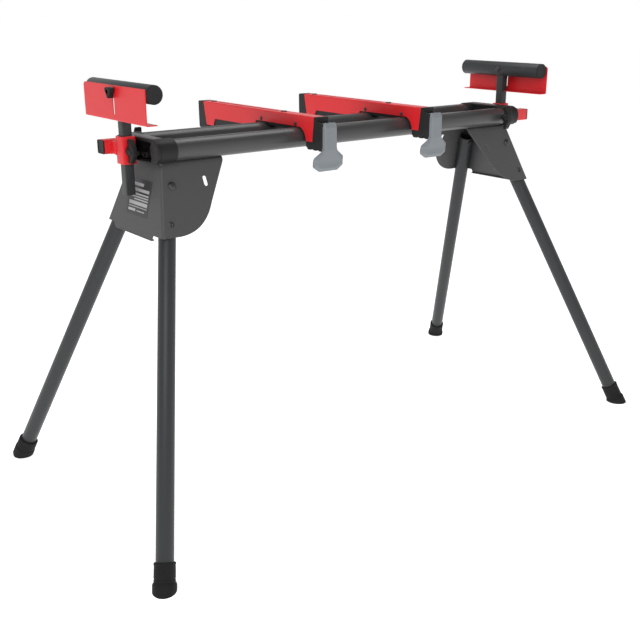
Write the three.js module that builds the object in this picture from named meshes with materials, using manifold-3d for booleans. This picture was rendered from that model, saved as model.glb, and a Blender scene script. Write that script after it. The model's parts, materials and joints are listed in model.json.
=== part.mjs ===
// Folding mitre saw stand: a twin-rail beam on four folding legs, two clamp-on saw arms and
// two pull-out work supports. Millimetres, +Z up, +X along the beam, -Y is the lever side.
// The origin is on the floor under the middle of the beam. The left end is at -X, and the
// right end is the same set of pieces turned half a turn about the vertical.

import * as THREE from 'three';
import { mergeVertices } from 'three/addons/utils/BufferGeometryUtils.js';
import Module from 'manifold-3d';

const wasm = await Module();
wasm.setup();

// ---------------------------------------------------------------- driving dimensions
const gap = 0.3;                    // air between pieces that touch
const runGap = 0.4;                 // air round a piece that slides or turns

const railRadius = 21.5;            // each of the two round rails of the beam
const railWall = 2;
const railSpread = 65;              // rail centre to the middle of the beam
const railHeight = 764.5;           // rail centre above the floor
const beamHalf = 519;               // half the beam's length
const webPlate = 2;                 // sheet between the rails
const webDrop = 11.5;               // that sheet below the rail centres
const webWeld = 1.3;                // how far the sheet runs into each rail

const capSleeve = 37;               // how far an end cap reaches back over the rails
const capWall = 2.2;
const capEnd = 8;                   // cap thickness past the rail's end
const capStrip = 29;                // length of the cap's bridge between the rails
const capSkin = 5.5;                // thickness of the bridge over its hollow
const capFloor = 2;                 // cap left between its end hollow and the rail
const capLip = 3;                   // height of the lip under the hollow
const neckWall = 5;                 // square neck round the extension tube
const neckLength = 4.5;

const sheet = 2;                    // leg bracket sheet
const bracketTop = railHeight - railRadius - gap;
const bracketSideTop = bracketTop - 9.7;         // height where the bracket's half width is taken
const bracketHalfTop = railSpread + 0.7;
const sideLean = 0.42;              // outward lean of the sides and legs, per unit of height
const webLean = 0.25;               // outward lean of the bracket's end web
const bracketEndTop = beamHalf - 8; // end web's outer face, at bracketSideTop
const bracketBend = 8;              // outer radius of the fold under the rails
const bracketDepth = 139.7;
const bracketBottom = bracketTop - bracketDepth;
const bracketLength = 145;
const bracketInner = bracketEndTop - bracketLength;
const tongueDrop = 11;              // tongue of the end web below its corners
const tongueFront = -77;            // its ends, across the beam
const tongueBack = 88;
const tongueLip = 7;

const legRadius = 17.5;
const legWall = 1.8;
const legSplay = 0.305;             // outward lean of a leg along the beam
const pivotDrop = 45.7;             // leg pivot below the bracket's top, on its outer face
const pivotHeight = bracketTop - pivotDrop;
const pivotOut = bracketEndTop + 2.9 - legRadius;
const legHead = 12;                 // leg above its pivot
const pivotRadius = 4;
const pivotHead = 8.5;              // radius of the pivot pin's dome
const lockArm = 78;                 // pivot to lock button
const lockRadius = 5.2;
const lockHole = lockRadius + 1.1;
const foldHole = 4.2;               // half width of the slot that holds a folded leg
const foldSpan = 4.8;               // half its length, in degrees about the pivot
const foldRise = 1.8;               // degrees above level for the legs that fold first
const foldDrop = 6;                 // degrees below level for the legs that fold last

const bootLength = 52;
const bootTopRadius = legRadius + 3.1;
const bootRadius = legRadius + 6;
const bootSole = 14.3;              // rubber under the leg's end, along the leg
const studRadius = 5;               // screw of the levelling foot
const studLength = 44;
const insertLength = 60;            // threaded plug inside the levelled leg

const tubeSide = 28;                // square extension tube
const tubeWall = 2;
const tubeCorner = 3;
const tubeEnd = beamHalf + 52;      // its outer end
const tubeLength = 700;
const plugThick = 3;
const plugDepth = 12;
const postSide = 20;
const postWall = 2;
const postCorner = 1.5;
const postOffset = 10;              // post off the beam's centre line
const postBottom = railHeight - 92.5;
const collarInside = postSide + 1;  // square collar that holds the post
const collarOutside = collarInside + 9;
const collarHeight = 55;
const collarCentre = beamHalf + capEnd + 2.5 + collarOutside / 2;
const collarDrop = 2;               // collar's middle below the rail centres
const knobX = beamHalf - 47;        // extension lock knob, along the beam
const knobStem = 4;
const knobDrop = 3;                 // post knob below the rail centres

const barRadius = 18.25;            // round work support bar
const barWall = 2;
const barHeight = railHeight + 113.5;
const barLength = 252;
const barCapThick = 3;
const barScrew = 3;
const barScrewHead = 6.5;
const plateThick = 2;               // stop plate behind the bar
const plateWidth = 263;
const plateTop = barHeight + 11;
const plateBottom = barHeight - 57;
const plateLip = 24;
const slotWidth = 6;
const slotBottom = barHeight - 43;
const stopKnobHeight = barHeight - 1;
const stopKnobRadius = 12.5;
const stopKnobThick = 12;

const armPlaces = { left: -160, right: 152 };    // the saw arms along the beam, as they stand
const armWidth = 32;
const armWall = 2;
const armOverRails = railHeight + railRadius + 2; // channel's lower edge over the rails
const armTop = armOverRails + 25;
const armFront = -railSpread - 61.5;             // front end of the red channel, at the top
const armBack = 318;
const armTail = railHeight + 10;                 // channel's lower edge behind the rails
const armHeel = railHeight - 7.5;                // channel's lower edge at the back end
const armToe = railHeight - 4.5;                 // lower end of the channel's front legs
const toeTaper = 6.5;               // front edge of those legs, back from the channel's end
const heelTaper = 12;               // back edge of the channel, forward at the heel
const archRadius = railRadius + 11; // front legs' inner edge, round a centre near the rail's
const archDrop = 6.5;
const saddleHeight = 32.5;          // black liner's top above the rail centres
const saddleTail = railHeight - 6.5;
const casingDepth = 29;
const casingBottom = railHeight - 21.5;
const toothDepth = 4;
const rearDepth = 24;
const rearLip = 9;                  // rear end below the channel's heel
const spigotDepth = 12;
const leverHub = 8;
const leverPin = 3;
const leverPinZ = armTop - 20;
const leverWell = 10.2;             // half width of the casing's well round the lever's hub
const leverTop = 10.5;              // lever above its pin
const leverThick = 9.8;
const leverBottom = railHeight - 62.5;
const paddleTop = leverBottom + 28.5;
const paddleSide = leverBottom + 10.5;
const paddleHalf = 39;
const paddleFoot = 24;
const shankHalf = 16.5;
const shankBottom = leverBottom + 46;
const boltBack = 293;               // saw bolts in the arm's top
const boltFront = 2;
const boltShank = 3;
const boltHead = 7;
const slotHalf = 3.5;               // half width of the mounting slot between them
const slotInset = 24;
const sideScrews = [-62, 69];
const sideScrewHeight = armOverRails + 5.5;
const sideScrewHole = 2.4;

// ---------------------------------------------------------------- facets
const railSides = 24;
const tubeSides = 16;
const barSides = 20;
const boltSides = 12;
const holeSides = 12;
const lobeSteps = 18;

// ---------------------------------------------------------------- finishes
const paint = (color, roughness, metalness) =>
  new THREE.MeshStandardMaterial({ color, roughness, metalness });
const railPaint = paint(0x4c4d50, 0.42, 0.35);
const bracketPaint = paint(0x56575a, 0.5, 0.3);
const legPaint = paint(0x505154, 0.45, 0.35);
const redPaint = paint(0xcf2f37, 0.42, 0.1);
const blackPlastic = paint(0x26282b, 0.55, 0);
const greyPlastic = paint(0x7c8388, 0.5, 0);
const rubber = paint(0x1b1b1c, 0.8, 0);
const darkSteel = paint(0x3a3b3d, 0.4, 0.7);

// ---------------------------------------------------------------- solids
function solid(geometry) {
  const bare = geometry.clone();
  for (const name of Object.keys(bare.attributes)) {
    if (name !== 'position') bare.deleteAttribute(name);
  }
  const merged = mergeVertices(bare, 1e-4);
  return new wasm.Manifold(new wasm.Mesh({
    numProp: 3,
    vertProperties: new Float32Array(merged.attributes.position.array),
    triVerts: new Uint32Array(merged.index.array),
  }));
}

function geometryOf(body) {
  const mesh = body.getMesh();
  const geometry = new THREE.BufferGeometry();
  geometry.setAttribute('position', new THREE.BufferAttribute(new Float32Array(mesh.vertProperties), 3));
  geometry.setIndex(new THREE.BufferAttribute(new Uint32Array(mesh.triVerts), 1));
  const faceted = geometry.toNonIndexed();
  faceted.computeVertexNormals();
  return faceted;
}

const join = (...bodies) => bodies.reduce((a, b) => a.add(b));
const cut = (body, ...tools) => tools.reduce((a, b) => a.subtract(b), body);
const X = new THREE.Vector3(1, 0, 0);
const Y = new THREE.Vector3(0, 1, 0);
const Z = new THREE.Vector3(0, 0, 1);
const point = (x, y, z) => new THREE.Vector3(x, y, z);

// a box given by its lowest and highest corner
function box(x0, x1, y0, y1, z0, z1) {
  const geometry = new THREE.BoxGeometry(x1 - x0, y1 - y0, z1 - z0);
  geometry.translate((x0 + x1) / 2, (y0 + y1) / 2, (z0 + z1) / 2);
  return solid(geometry);
}

// turns a geometry made along +Z to run along the given axis, from the given start
function placeAlong(geometry, start, axis) {
  const turn = new THREE.Quaternion().setFromUnitVectors(Z, axis.clone().normalize());
  geometry.applyMatrix4(new THREE.Matrix4().compose(start, turn, point(1, 1, 1)));
  return geometry;
}

function rod(start, axis, length, radius, sides = 24) {
  const geometry = new THREE.CylinderGeometry(radius, radius, length, sides);
  geometry.rotateX(Math.PI / 2);
  geometry.translate(0, 0, length / 2);
  return solid(placeAlong(geometry, start, axis));
}

// a solid of revolution from [radius, height] pairs that start and end on the axis
function turned(start, axis, profile, sides = 24) {
  const outline = profile.map(([r, h]) => new THREE.Vector2(r, h));
  const geometry = new THREE.LatheGeometry(outline, sides);
  geometry.rotateX(Math.PI / 2);
  return solid(placeAlong(geometry, start, axis));
}

// an outline of [u, v] pairs extruded along u x v, which runs from start over the given length
function extruded(points, u, v, start, length) {
  const shape = points instanceof THREE.Shape ? points
    : new THREE.Shape(points.map(([a, b]) => new THREE.Vector2(a, b)));
  const settings = { depth: length, bevelEnabled: false, curveSegments: 10 };
  const geometry = new THREE.ExtrudeGeometry(shape, settings);
  const basis = new THREE.Matrix4().makeBasis(u, v, u.clone().cross(v));
  geometry.applyMatrix4(basis.setPosition(start));
  return solid(geometry);
}

// outline in X and Z, from y0 to y1
const sideways = (points, y0, y1) => extruded(points, X, Z, point(0, y1, 0), y1 - y0);
// outline in Y and Z, from x0 to x1
const lengthwise = (points, x0, x1) => extruded(points, Y, Z, point(x0, 0, 0), x1 - x0);
// outline in X and Y, from z0 to z1
const upright = (points, z0, z1) => extruded(points, X, Y, point(0, 0, z0), z1 - z0);

function roundedSquare(side, corner, cx = 0, cy = 0) {
  const h = side / 2 - corner;
  const shape = new THREE.Shape();
  shape.absarc(cx + h, cy + h, corner, 0, Math.PI / 2);
  shape.absarc(cx - h, cy + h, corner, Math.PI / 2, Math.PI);
  shape.absarc(cx - h, cy - h, corner, Math.PI, 1.5 * Math.PI);
  shape.absarc(cx + h, cy - h, corner, 1.5 * Math.PI, 2 * Math.PI);
  shape.closePath();
  return new THREE.Shape(shape.getPoints(1));
}

function arc(cx, cy, radius, from, to, steps) {
  const points = [];
  for (let i = 0; i <= steps; i++) {
    const angle = from + (to - from) * i / steps;
    points.push([cx + radius * Math.cos(angle), cy + radius * Math.sin(angle)]);
  }
  return points;
}

// ---------------------------------------------------------------- the scene
const stand = new THREE.Group();
const ends = { left: new THREE.Group(), right: new THREE.Group() };
ends.right.rotation.z = Math.PI;
stand.add(ends.left, ends.right);

function piece(parent, name, body, material) {
  const mesh = new THREE.Mesh(geometryOf(body), material);
  mesh.name = name;
  parent.add(mesh);
  return mesh;
}

// ---------------------------------------------------------------- beam and end caps
function beam() {
  const long = 2 * beamHalf;
  const parts = [-1, 1].map((side) => cut(
    rod(point(-beamHalf, side * railSpread, railHeight), X, long, railRadius, railSides),
    rod(point(-beamHalf - 1, side * railSpread, railHeight), X, long + 2, railRadius - railWall, railSides)));
  const webHalf = beamHalf - capSleeve - 1;
  const reach = railSpread - Math.sqrt(railRadius ** 2 - webDrop ** 2) + webWeld;
  const web = box(-webHalf, webHalf, -reach, reach,
    railHeight - webDrop - webPlate / 2, railHeight - webDrop + webPlate / 2);
  const stemStart = railSpread + railRadius - 2 * railWall - gap;
  const stems = [-1, 1].map((side) =>
    rod(point(side * knobX, -side * stemStart, railHeight), Y.clone().multiplyScalar(-side),
      3 * railWall, knobStem + gap, holeSides));
  return cut(join(...parts, web), ...stems);
}

function endCap() {
  const socket = railRadius + gap;
  const outer = socket + capWall;
  const end = -beamHalf - capEnd;
  const top = railHeight + outer;
  const low = railHeight - outer;
  const sleeves = [-1, 1].map((side) =>
    rod(point(end, side * railSpread, railHeight), X, capSleeve + capEnd, outer, railSides));
  const sockets = [-1, 1].map((side) =>
    rod(point(-beamHalf - gap, side * railSpread, railHeight), X, capSleeve + 10, socket, railSides));
  const bridge = box(end, end + capStrip, -railSpread, railSpread, low, top);
  const hollowHalf = railSpread - outer;
  const hollowLow = low + capLip;
  const hollow = box(end - 1, end + capStrip - 3, -hollowHalf, hollowHalf, hollowLow, top - capSkin);
  const pocket = box(end - 1, -beamHalf - gap - capFloor, -railSpread + capSkin, 0, hollowLow, top - capSkin);
  const neckSide = tubeSide + 2 * neckWall;
  const neck = extruded(roundedSquare(neckSide, 2 * tubeCorner, railSpread, railHeight), Y, Z,
    point(end - neckLength, 0, 0), capEnd);
  const bore = extruded(roundedSquare(tubeSide + 2 * runGap, tubeCorner, railSpread, railHeight),
    Y, Z, point(end - neckLength - 1, 0, 0), neckLength + 2 * capEnd);
  const wide = railSpread + 2 * outer;
  const overBracket = box(-bracketEndTop - 1.5, -beamHalf + capSleeve + 1, -wide, wide,
    low - 40, bracketTop + gap);
  const screws = [-1, 1].map((side) =>
    rod(point(-beamHalf + 23, side * (railSpread + outer - 1.2), railHeight - 1),
      Y.clone().multiplyScalar(side), 3, 4, holeSides));
  return cut(join(...sleeves, bridge, neck), ...sockets, hollow, pocket, bore, overBracket, ...screws);
}

// ---------------------------------------------------------------- leg geometry
// side is -1 for the front leg and +1 for the back one; all is for the left end
const lean = Math.atan(sideLean);
const sideAt = (z) => bracketHalfTop + sideLean * (bracketSideTop - z);
const endAt = (z) => -(bracketEndTop + webLean * (bracketSideTop - z));
const outward = (side) => point(0, side * Math.cos(lean), Math.sin(lean));
const skinToAxis = sheet + gap + legRadius;

function pivotPoint(side) {
  const onSide = point(-pivotOut, side * sideAt(pivotHeight), pivotHeight);
  return onSide.addScaledVector(outward(side), -skinToAxis);
}

const legDown = (side) => point(-legSplay, side * sideLean, -1).normalize();
const legReach = pivotPoint(1).z * Math.hypot(legSplay, sideLean, 1);

// the direction of the leg after turning it by the given angle about its pivot
function legTurned(side, degrees) {
  return legDown(side).applyAxisAngle(outward(side), -side * degrees * Math.PI / 180);
}

const level = 90 + Math.atan(legSplay * Math.cos(lean)) * 180 / Math.PI;
const foldAngle = { front: level + foldRise, back: level - foldDrop };

// ---------------------------------------------------------------- leg bracket
const farOut = 2 * bracketEndTop;                // further than any piece of the bracket
const belowBracket = bracketBottom - 20;

// the folded sheet seen along the beam, moved inwards by the given distance
function bracketSection(inset) {
  const centreZ = bracketTop - bracketBend;
  const centreY = -sideAt(centreZ) + bracketBend / Math.cos(lean);
  const footY = -(sideAt(belowBracket) - inset / Math.cos(lean));
  const front = [[footY, belowBracket],
    ...arc(centreY, centreZ, bracketBend - inset, Math.PI - lean, Math.PI / 2, 5)];
  const back = front.map(([y, z]) => [-y, z]).reverse();
  return [...front, ...back];
}

// a side seen from the front: a straight inner edge that turns into a round lower one
function bracketSideOutline() {
  const hipX = -bracketInner - 49;
  const hipZ = bracketBottom + 56;
  const shape = new THREE.Shape();
  shape.moveTo(endAt(bracketTop), bracketTop);
  shape.lineTo(endAt(bracketBottom), bracketBottom);
  shape.lineTo(-bracketEndTop, bracketBottom);
  shape.quadraticCurveTo(hipX - 29, bracketBottom + 3, hipX, hipZ);
  shape.lineTo(-bracketInner, bracketSideTop + 1);
  shape.lineTo(-bracketInner, bracketTop);
  shape.closePath();
  return shape;
}

function legBracket() {
  const filled = lengthwise(bracketSection(0), -farOut, 0);
  const inside = lengthwise(bracketSection(sheet), -farOut, 0);
  const sides = cut(filled, inside).intersect(sideways(bracketSideOutline(), -farOut, farOut));
  const low = bracketBottom - tongueDrop;
  const across = sheet * Math.hypot(1, webLean);
  const slab = sideways([[endAt(bracketTop), bracketTop], [endAt(low), low],
    [endAt(low) + across, low], [endAt(bracketTop) + across, bracketTop]], -farOut, farOut);
  const web = cut(slab.intersect(filled),
    box(-farOut, 0, tongueBack, farOut, 0, bracketBottom),
    box(-farOut, 0, -farOut, tongueFront, 0, bracketBottom));
  const lip = box(endAt(low), endAt(low) + tongueLip, tongueFront, tongueBack - 4 * tongueLip,
    low, low + sheet);
  const holes = [];
  for (const side of [-1, 1]) {
    const pivot = pivotPoint(side);
    const out = outward(side);
    const fold = side < 0 ? foldAngle.front : foldAngle.back;
    const drill = (centre, radius) =>
      rod(centre.clone().addScaledVector(out, legRadius / 2), out, legRadius, radius, holeSides);
    holes.push(drill(pivot, pivotRadius + gap));
    holes.push(drill(pivot.clone().addScaledVector(legTurned(side, 0), lockArm), lockHole));
    for (let step = -1; step <= 1; step++) {
      const way = legTurned(side, fold + step * foldSpan);
      holes.push(drill(pivot.clone().addScaledVector(way, lockArm), foldHole));
    }
  }
  return cut(join(sides, web, lip), ...holes);
}

// ---------------------------------------------------------------- legs
function leg(side) {
  const up = legDown(side).negate();
  const out = outward(side);
  const pivot = pivotPoint(side);
  const foot = pivot.clone().addScaledVector(up, -(legReach - bootSole));
  const length = legReach - bootSole + legHead;
  const tube = cut(rod(foot, up, length, legRadius, tubeSides),
    rod(foot.clone().addScaledVector(up, -1), up, length + 2, legRadius - legWall, tubeSides));
  const across = pivot.clone().addScaledVector(out, -2 * legRadius);
  const button = pivot.clone().addScaledVector(up, -lockArm);
  return cut(tube, rod(across, out, 4 * legRadius, pivotRadius + gap, boltSides),
    rod(button, out, 2 * legRadius, lockRadius + gap, boltSides));
}

// a riveted pin: a domed head outside the bracket and a formed head inside the leg
function pivotPin(side) {
  const rivet = 2.6;
  const inside = legRadius + runGap + rivet;
  const start = pivotPoint(side).addScaledVector(outward(side), -inside);
  const headAt = inside + skinToAxis + gap;
  return turned(start, outward(side), [[0, 0], [6, 0], [7, 1], [7, rivet], [pivotRadius, rivet],
    [pivotRadius, headAt], [pivotHead, headAt], [pivotHead - 0.2, headAt + 1.6], [6.4, headAt + 3.4],
    [3, headAt + 4.2], [0, headAt + 4.4]], boltSides);
}

// the button's tip stops just inside the bracket's sheet
function lockButton(side) {
  const start = pivotPoint(side).addScaledVector(legDown(side), lockArm);
  const collar = lockRadius + 2;
  const tip = legRadius - 0.1;
  return turned(start, outward(side), [[0, -3], [lockRadius, -3], [lockRadius, 5], [collar, 5], [collar, 9],
    [lockRadius, 9], [lockRadius, tip - 1.8], [lockRadius - 1.4, tip], [0, tip]], boltSides);
}

const floorCut = () => {
  const reach = 3 * railHeight;
  return box(-reach, reach, -reach, reach, -reach, 0);
};

function boot(side) {
  const up = legDown(side).negate();
  const start = pivotPoint(side).addScaledVector(up, -legReach);
  const hole = legRadius + gap;
  const skirt = 12;
  const body = turned(start, up, [[0, -16], [bootRadius, -16], [bootRadius, skirt],
    [bootRadius - 1, skirt + 3], [bootTopRadius + 0.4, skirt + 5], [bootTopRadius, bootLength - 2],
    [bootTopRadius - 0.8, bootLength], [hole, bootLength], [hole, bootSole - gap],
    [0, bootSole - gap]], tubeSides);
  return cut(body, floorCut());
}

// the round foot and its screw, which goes up into the insert
function levellingFoot(side) {
  const up = legDown(side).negate();
  const start = pivotPoint(side).addScaledVector(up, -legReach);
  const hole = legRadius + runGap;
  const grip = bootTopRadius + 1.6;
  const shoulder = 25;
  const shell = turned(start, up, [[0, -9], [14, -8.4], [20, -6], [bootRadius, -1],
    [bootRadius, shoulder], [grip, shoulder + 1], [grip, bootLength - 3], [bootTopRadius, bootLength],
    [hole, bootLength], [hole, bootSole - gap], [studRadius, bootSole - gap], [studRadius, studLength],
    [0, studLength]], tubeSides);
  return cut(shell, floorCut());
}

function threadInsert(side) {
  const up = legDown(side).negate();
  const start = pivotPoint(side).addScaledVector(up, -legReach + bootSole);
  const outer = legRadius - legWall - gap;
  const bore = studRadius + runGap;
  const plug = rod(start.clone().addScaledVector(up, 1), up, insertLength, outer, tubeSides);
  return cut(plug, rod(start.clone(), up, studLength + 8, bore, tubeSides));
}

// ---------------------------------------------------------------- extension arm
function extensionArm() {
  const tube = cut(
    extruded(roundedSquare(tubeSide, tubeCorner, railSpread, railHeight), Y, Z,
      point(-tubeEnd, 0, 0), tubeLength),
    extruded(roundedSquare(tubeSide - 2 * tubeWall, tubeCorner - 1.2, railSpread, railHeight), Y, Z,
      point(-tubeEnd - 1, 0, 0), tubeLength + 2));
  const half = collarOutside / 2;
  const top = railHeight - collarDrop + collarHeight / 2;
  const low = top - collarHeight;
  const collar = upright(roundedSquare(collarOutside, 2.5, -collarCentre, postOffset), low, top);
  const bridgeHalf = tubeSide / 2 - 1;
  const bridge = box(-collarCentre - half, -collarCentre + half - 3,
    postOffset + half - 2, railSpread - tubeSide / 2 + 1, railHeight - bridgeHalf, railHeight + bridgeHalf);
  const bore = upright(roundedSquare(collarInside, 1.6, -collarCentre, postOffset), low - 1, top + 1);
  const stem = rod(point(-collarCentre, postOffset - half - 1, railHeight - knobDrop), Y,
    collarOutside / 5, knobStem + gap, boltSides);
  return cut(join(tube, collar, bridge), bore, stem);
}

function tubePlug() {
  const flange = extruded(roundedSquare(tubeSide, tubeCorner, railSpread, railHeight), Y, Z,
    point(-tubeEnd - gap - plugThick, 0, 0), plugThick);
  const spigot = extruded(roundedSquare(tubeSide - 2 * tubeWall - 2 * gap, tubeCorner - 1.4,
    railSpread, railHeight), Y, Z, point(-tubeEnd - gap - 1, 0, 0), plugDepth + 1);
  return join(flange, spigot);
}

// three rounded lobes on a hub; axis points away from the stem
function lobedKnob(start, axis, stem, radius, thick, boss) {
  const shape = new THREE.Shape();
  for (let i = 0; i < lobeSteps; i++) {
    const angle = 2 * Math.PI * i / lobeSteps;
    const r = radius * (0.76 + 0.24 * Math.cos(3 * angle));
    if (i === 0) shape.moveTo(r * Math.cos(angle), r * Math.sin(angle));
    else shape.lineTo(r * Math.cos(angle), r * Math.sin(angle));
  }
  const geometry = new THREE.ExtrudeGeometry(shape, { depth: thick, bevelEnabled: false });
  geometry.translate(0, 0, stem);
  const lobes = solid(placeAlong(geometry, start, axis));
  const hub = rod(start.clone().addScaledVector(axis, stem - boss), axis, boss + 1, radius * 0.42, boltSides);
  return join(lobes, hub);
}

// an upright wing grip with a waist, from near to far along Y, round the given centre
function wingGrip(centreX, centreZ, half, tip, shoulder, waist, near, far) {
  const right = [[tip, -half], [shoulder, -0.62 * half], [waist, 0], [shoulder, 0.62 * half], [tip, half]];
  const left = right.map(([x, z]) => [-x, -z]);
  const outline = [...right, ...left].map(([x, z]) => [x + centreX, z + centreZ]);
  return sideways(outline, Math.min(near, far), Math.max(near, far));
}

function extensionKnob() {
  const start = point(-knobX, railSpread + tubeSide / 2 + gap, railHeight);
  const sleeve = railSpread + railRadius + capWall;
  const reach = sleeve + 3 - start.y;
  const hub = turned(start, Y, [[0, reach - 2], [11, reach - 2], [11, reach + 4], [9, reach + 17],
    [0, reach + 17]], boltSides);
  const grip = wingGrip(-knobX, railHeight, 29, 6.5, 10, 9, sleeve + 8, sleeve + 21);
  return join(rod(start, Y, reach, knobStem, boltSides), hub, grip);
}

function postKnob() {
  const front = postOffset - collarOutside / 2;
  const height = railHeight - knobDrop;
  const start = point(-collarCentre, postOffset - postSide / 2 - gap, height);
  const away = Y.clone().negate();
  const reach = start.y - front + gap;
  const stem = rod(start, away, reach + 3, knobStem, boltSides);
  const hub = turned(start, away, [[0, reach], [10, reach], [10, reach + 5], [8, reach + 16],
    [0, reach + 16]], boltSides);
  const grip = wingGrip(-collarCentre, height, 24, 5, 7.5, 6, front - 7, front - 22);
  return join(stem, hub, grip);
}

// ---------------------------------------------------------------- work support
function post() {
  const square = (side, corner) => roundedSquare(side, corner, -collarCentre, postOffset);
  const outside = upright(square(postSide, postCorner), postBottom, barHeight);
  const inside = upright(square(postSide - 2 * postWall, postCorner / 2), postBottom - 1, barHeight + 1);
  const barStart = point(-collarCentre, postOffset - barLength / 2, barHeight);
  return cut(outside, inside, rod(barStart, Y, barLength, barRadius + gap, barSides));
}

function supportBar() {
  const start = point(-collarCentre, postOffset - barLength / 2, barHeight);
  const tube = cut(rod(start, Y, barLength, barRadius, barSides),
    rod(start.clone().addScaledVector(Y, -1), Y, barLength + 2, barRadius - barWall, barSides));
  const across = 2 * barRadius;
  const stud = rod(point(-collarCentre - across, postOffset, stopKnobHeight), X, across, 2.9, boltSides);
  const bolt = rod(point(-collarCentre, postOffset, barHeight), X, across, barScrew + gap, boltSides);
  return cut(tube, stud, bolt);
}

function barCap(side) {
  const away = Y.clone().multiplyScalar(side);
  const start = point(-collarCentre, postOffset + side * (barLength / 2 + gap), barHeight);
  const spigot = barRadius - barWall - gap;
  return turned(start, away, [[0, -8], [spigot, -8], [spigot, 0], [barRadius, 0],
    [barRadius, barCapThick - 1], [barRadius - 1, barCapThick], [0, barCapThick]], barSides);
}

function barBolt() {
  const inset = 8;
  const start = point(-collarCentre + inset, postOffset, barHeight);
  const seat = barRadius + gap - inset;
  return turned(start, X, [[0, 0], [barScrew, 0], [barScrew, seat], [barScrewHead, seat],
    [barScrewHead - 0.5, seat + 2.6], [barScrew + 0.5, seat + 3.8], [0, seat + 4]], boltSides);
}

function stopPlate() {
  const outer = -collarCentre - barRadius - 2 * gap - plateThick;
  const inner = outer + plateThick;
  const low = postOffset - plateWidth / 2;
  const high = postOffset + plateWidth / 2;
  const face = box(outer, inner, low, high, plateBottom, plateTop);
  const lip = box(outer, outer + plateLip, low, high, plateBottom, plateBottom + plateThick);
  const notchHalf = postSide / 2 + 1.2;
  const notch = box(-collarCentre - postSide / 2 - 0.8, 0, postOffset - notchHalf, postOffset + notchHalf,
    plateBottom - 1, plateBottom + plateThick + 1);
  const r = slotWidth / 2;
  const slot = lengthwise([...arc(postOffset, slotBottom, r, Math.PI, 2 * Math.PI, 8),
    ...arc(postOffset, stopKnobHeight, r, 0, Math.PI, 8)], outer - 1, inner + 1);
  const nick = box(outer - 1, inner + 1, high - 6, high + 1, plateTop - 4, plateTop + 1);
  return cut(join(face, lip), notch, slot, nick);
}

function stopKnob() {
  const away = X.clone().negate();
  const start = point(-collarCentre - barRadius + barWall + 0.8, postOffset, stopKnobHeight);
  const reach = plateThick + barWall + 2.2;
  return join(rod(start, away, reach + 2, 2.5, boltSides),
    lobedKnob(start, away, reach, stopKnobRadius, stopKnobThick, runGap));
}

// ---------------------------------------------------------------- saw arms
// drawn round x = 0, then moved to its place by its group
const armHalf = armWidth / 2;
const insideHalf = armHalf - armWall - gap;      // half width of what fits in the channel
const archY = -railSpread - 1;
const archZ = railHeight - archDrop;
const archFoot = archY - Math.sqrt(archRadius ** 2 - (armToe - archZ) ** 2);
const stepBack = railSpread + railRadius + 3.5;  // where the lower edge steps down behind the rails
const heelFront = armBack - 41;
const casingFront = armFront - gap - casingDepth;
const leverPinY = casingFront + leverHub + gap;

function armOutline() {
  const startAngle = Math.PI - Math.asin((armToe - archZ) / archRadius);
  const endAngle = Math.PI - Math.asin((armOverRails - archZ) / archRadius);
  return [[armFront, armTop], [armFront + toeTaper, armToe],
    ...arc(archY, archZ, archRadius, startAngle, endAngle, 6),
    [stepBack, armOverRails], [stepBack + 4, armTail], [heelFront - 11, armTail], [heelFront, armHeel],
    [armBack - heelTaper, armHeel], [armBack, armTop]];
}

function armChannel() {
  const block = lengthwise(armOutline(), -armHalf, armHalf);
  const inside = box(-armHalf + armWall, armHalf - armWall, armFront - 1, armBack + 1,
    armHeel - 20, armTop - armWall);
  const slot = upright([...arc(0, boltFront + slotInset, slotHalf, Math.PI, 2 * Math.PI, 6),
    ...arc(0, boltBack - slotInset, slotHalf, 0, Math.PI, 6)], armTop - 10, armTop + 1);
  const holes = [boltFront, boltBack].map((y) =>
    rod(point(0, y, armTop - 10), Z, 20, boltHead + gap, boltSides));
  const screws = sideScrews.map((y) =>
    rod(point(-armHalf - 1, y, sideScrewHeight), X, armWidth + 2, sideScrewHole, 8));
  return cut(block, inside, slot, ...holes, ...screws);
}

// the black liner, bedded on both rails
function armSaddle() {
  const top = railHeight + saddleHeight;
  const bed = railRadius + runGap;
  const front = archFoot - 5;
  const waist = railHeight + 16.5;
  const shoulder = railSpread - 15;
  const block = lengthwise([[front, top], [front, armToe + gap], [-railSpread - 12, armToe + gap],
    [-shoulder, waist], [shoulder, waist], [railSpread + 12, saddleTail], [heelFront - 3, saddleTail],
    [heelFront - 3, top]], -insideHalf, insideHalf);
  const rails = [-1, 1].map((side) =>
    rod(point(-armWidth, side * railSpread, railHeight), X, 2 * armWidth, bed, railSides));
  return cut(block, ...rails);
}

// its side walls carry on the channel's, so they stop at the channel's slanting back edge
function armRearEnd() {
  const back = armBack + rearDepth;
  const heel = armBack - heelTaper;
  const low = armHeel - rearLip;
  const block = lengthwise([[armBack + gap, armTop], [back, armTop], [back, low],
    [heel - 5, low], [heel - 5, armHeel - gap], [heel + gap, armHeel - gap]], -armHalf, armHalf);
  const spigot = box(-insideHalf, insideHalf, armBack - spigotDepth, armBack + 4,
    armHeel - gap - 2, armTop - armWall - gap);
  return join(block, spigot);
}

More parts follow.
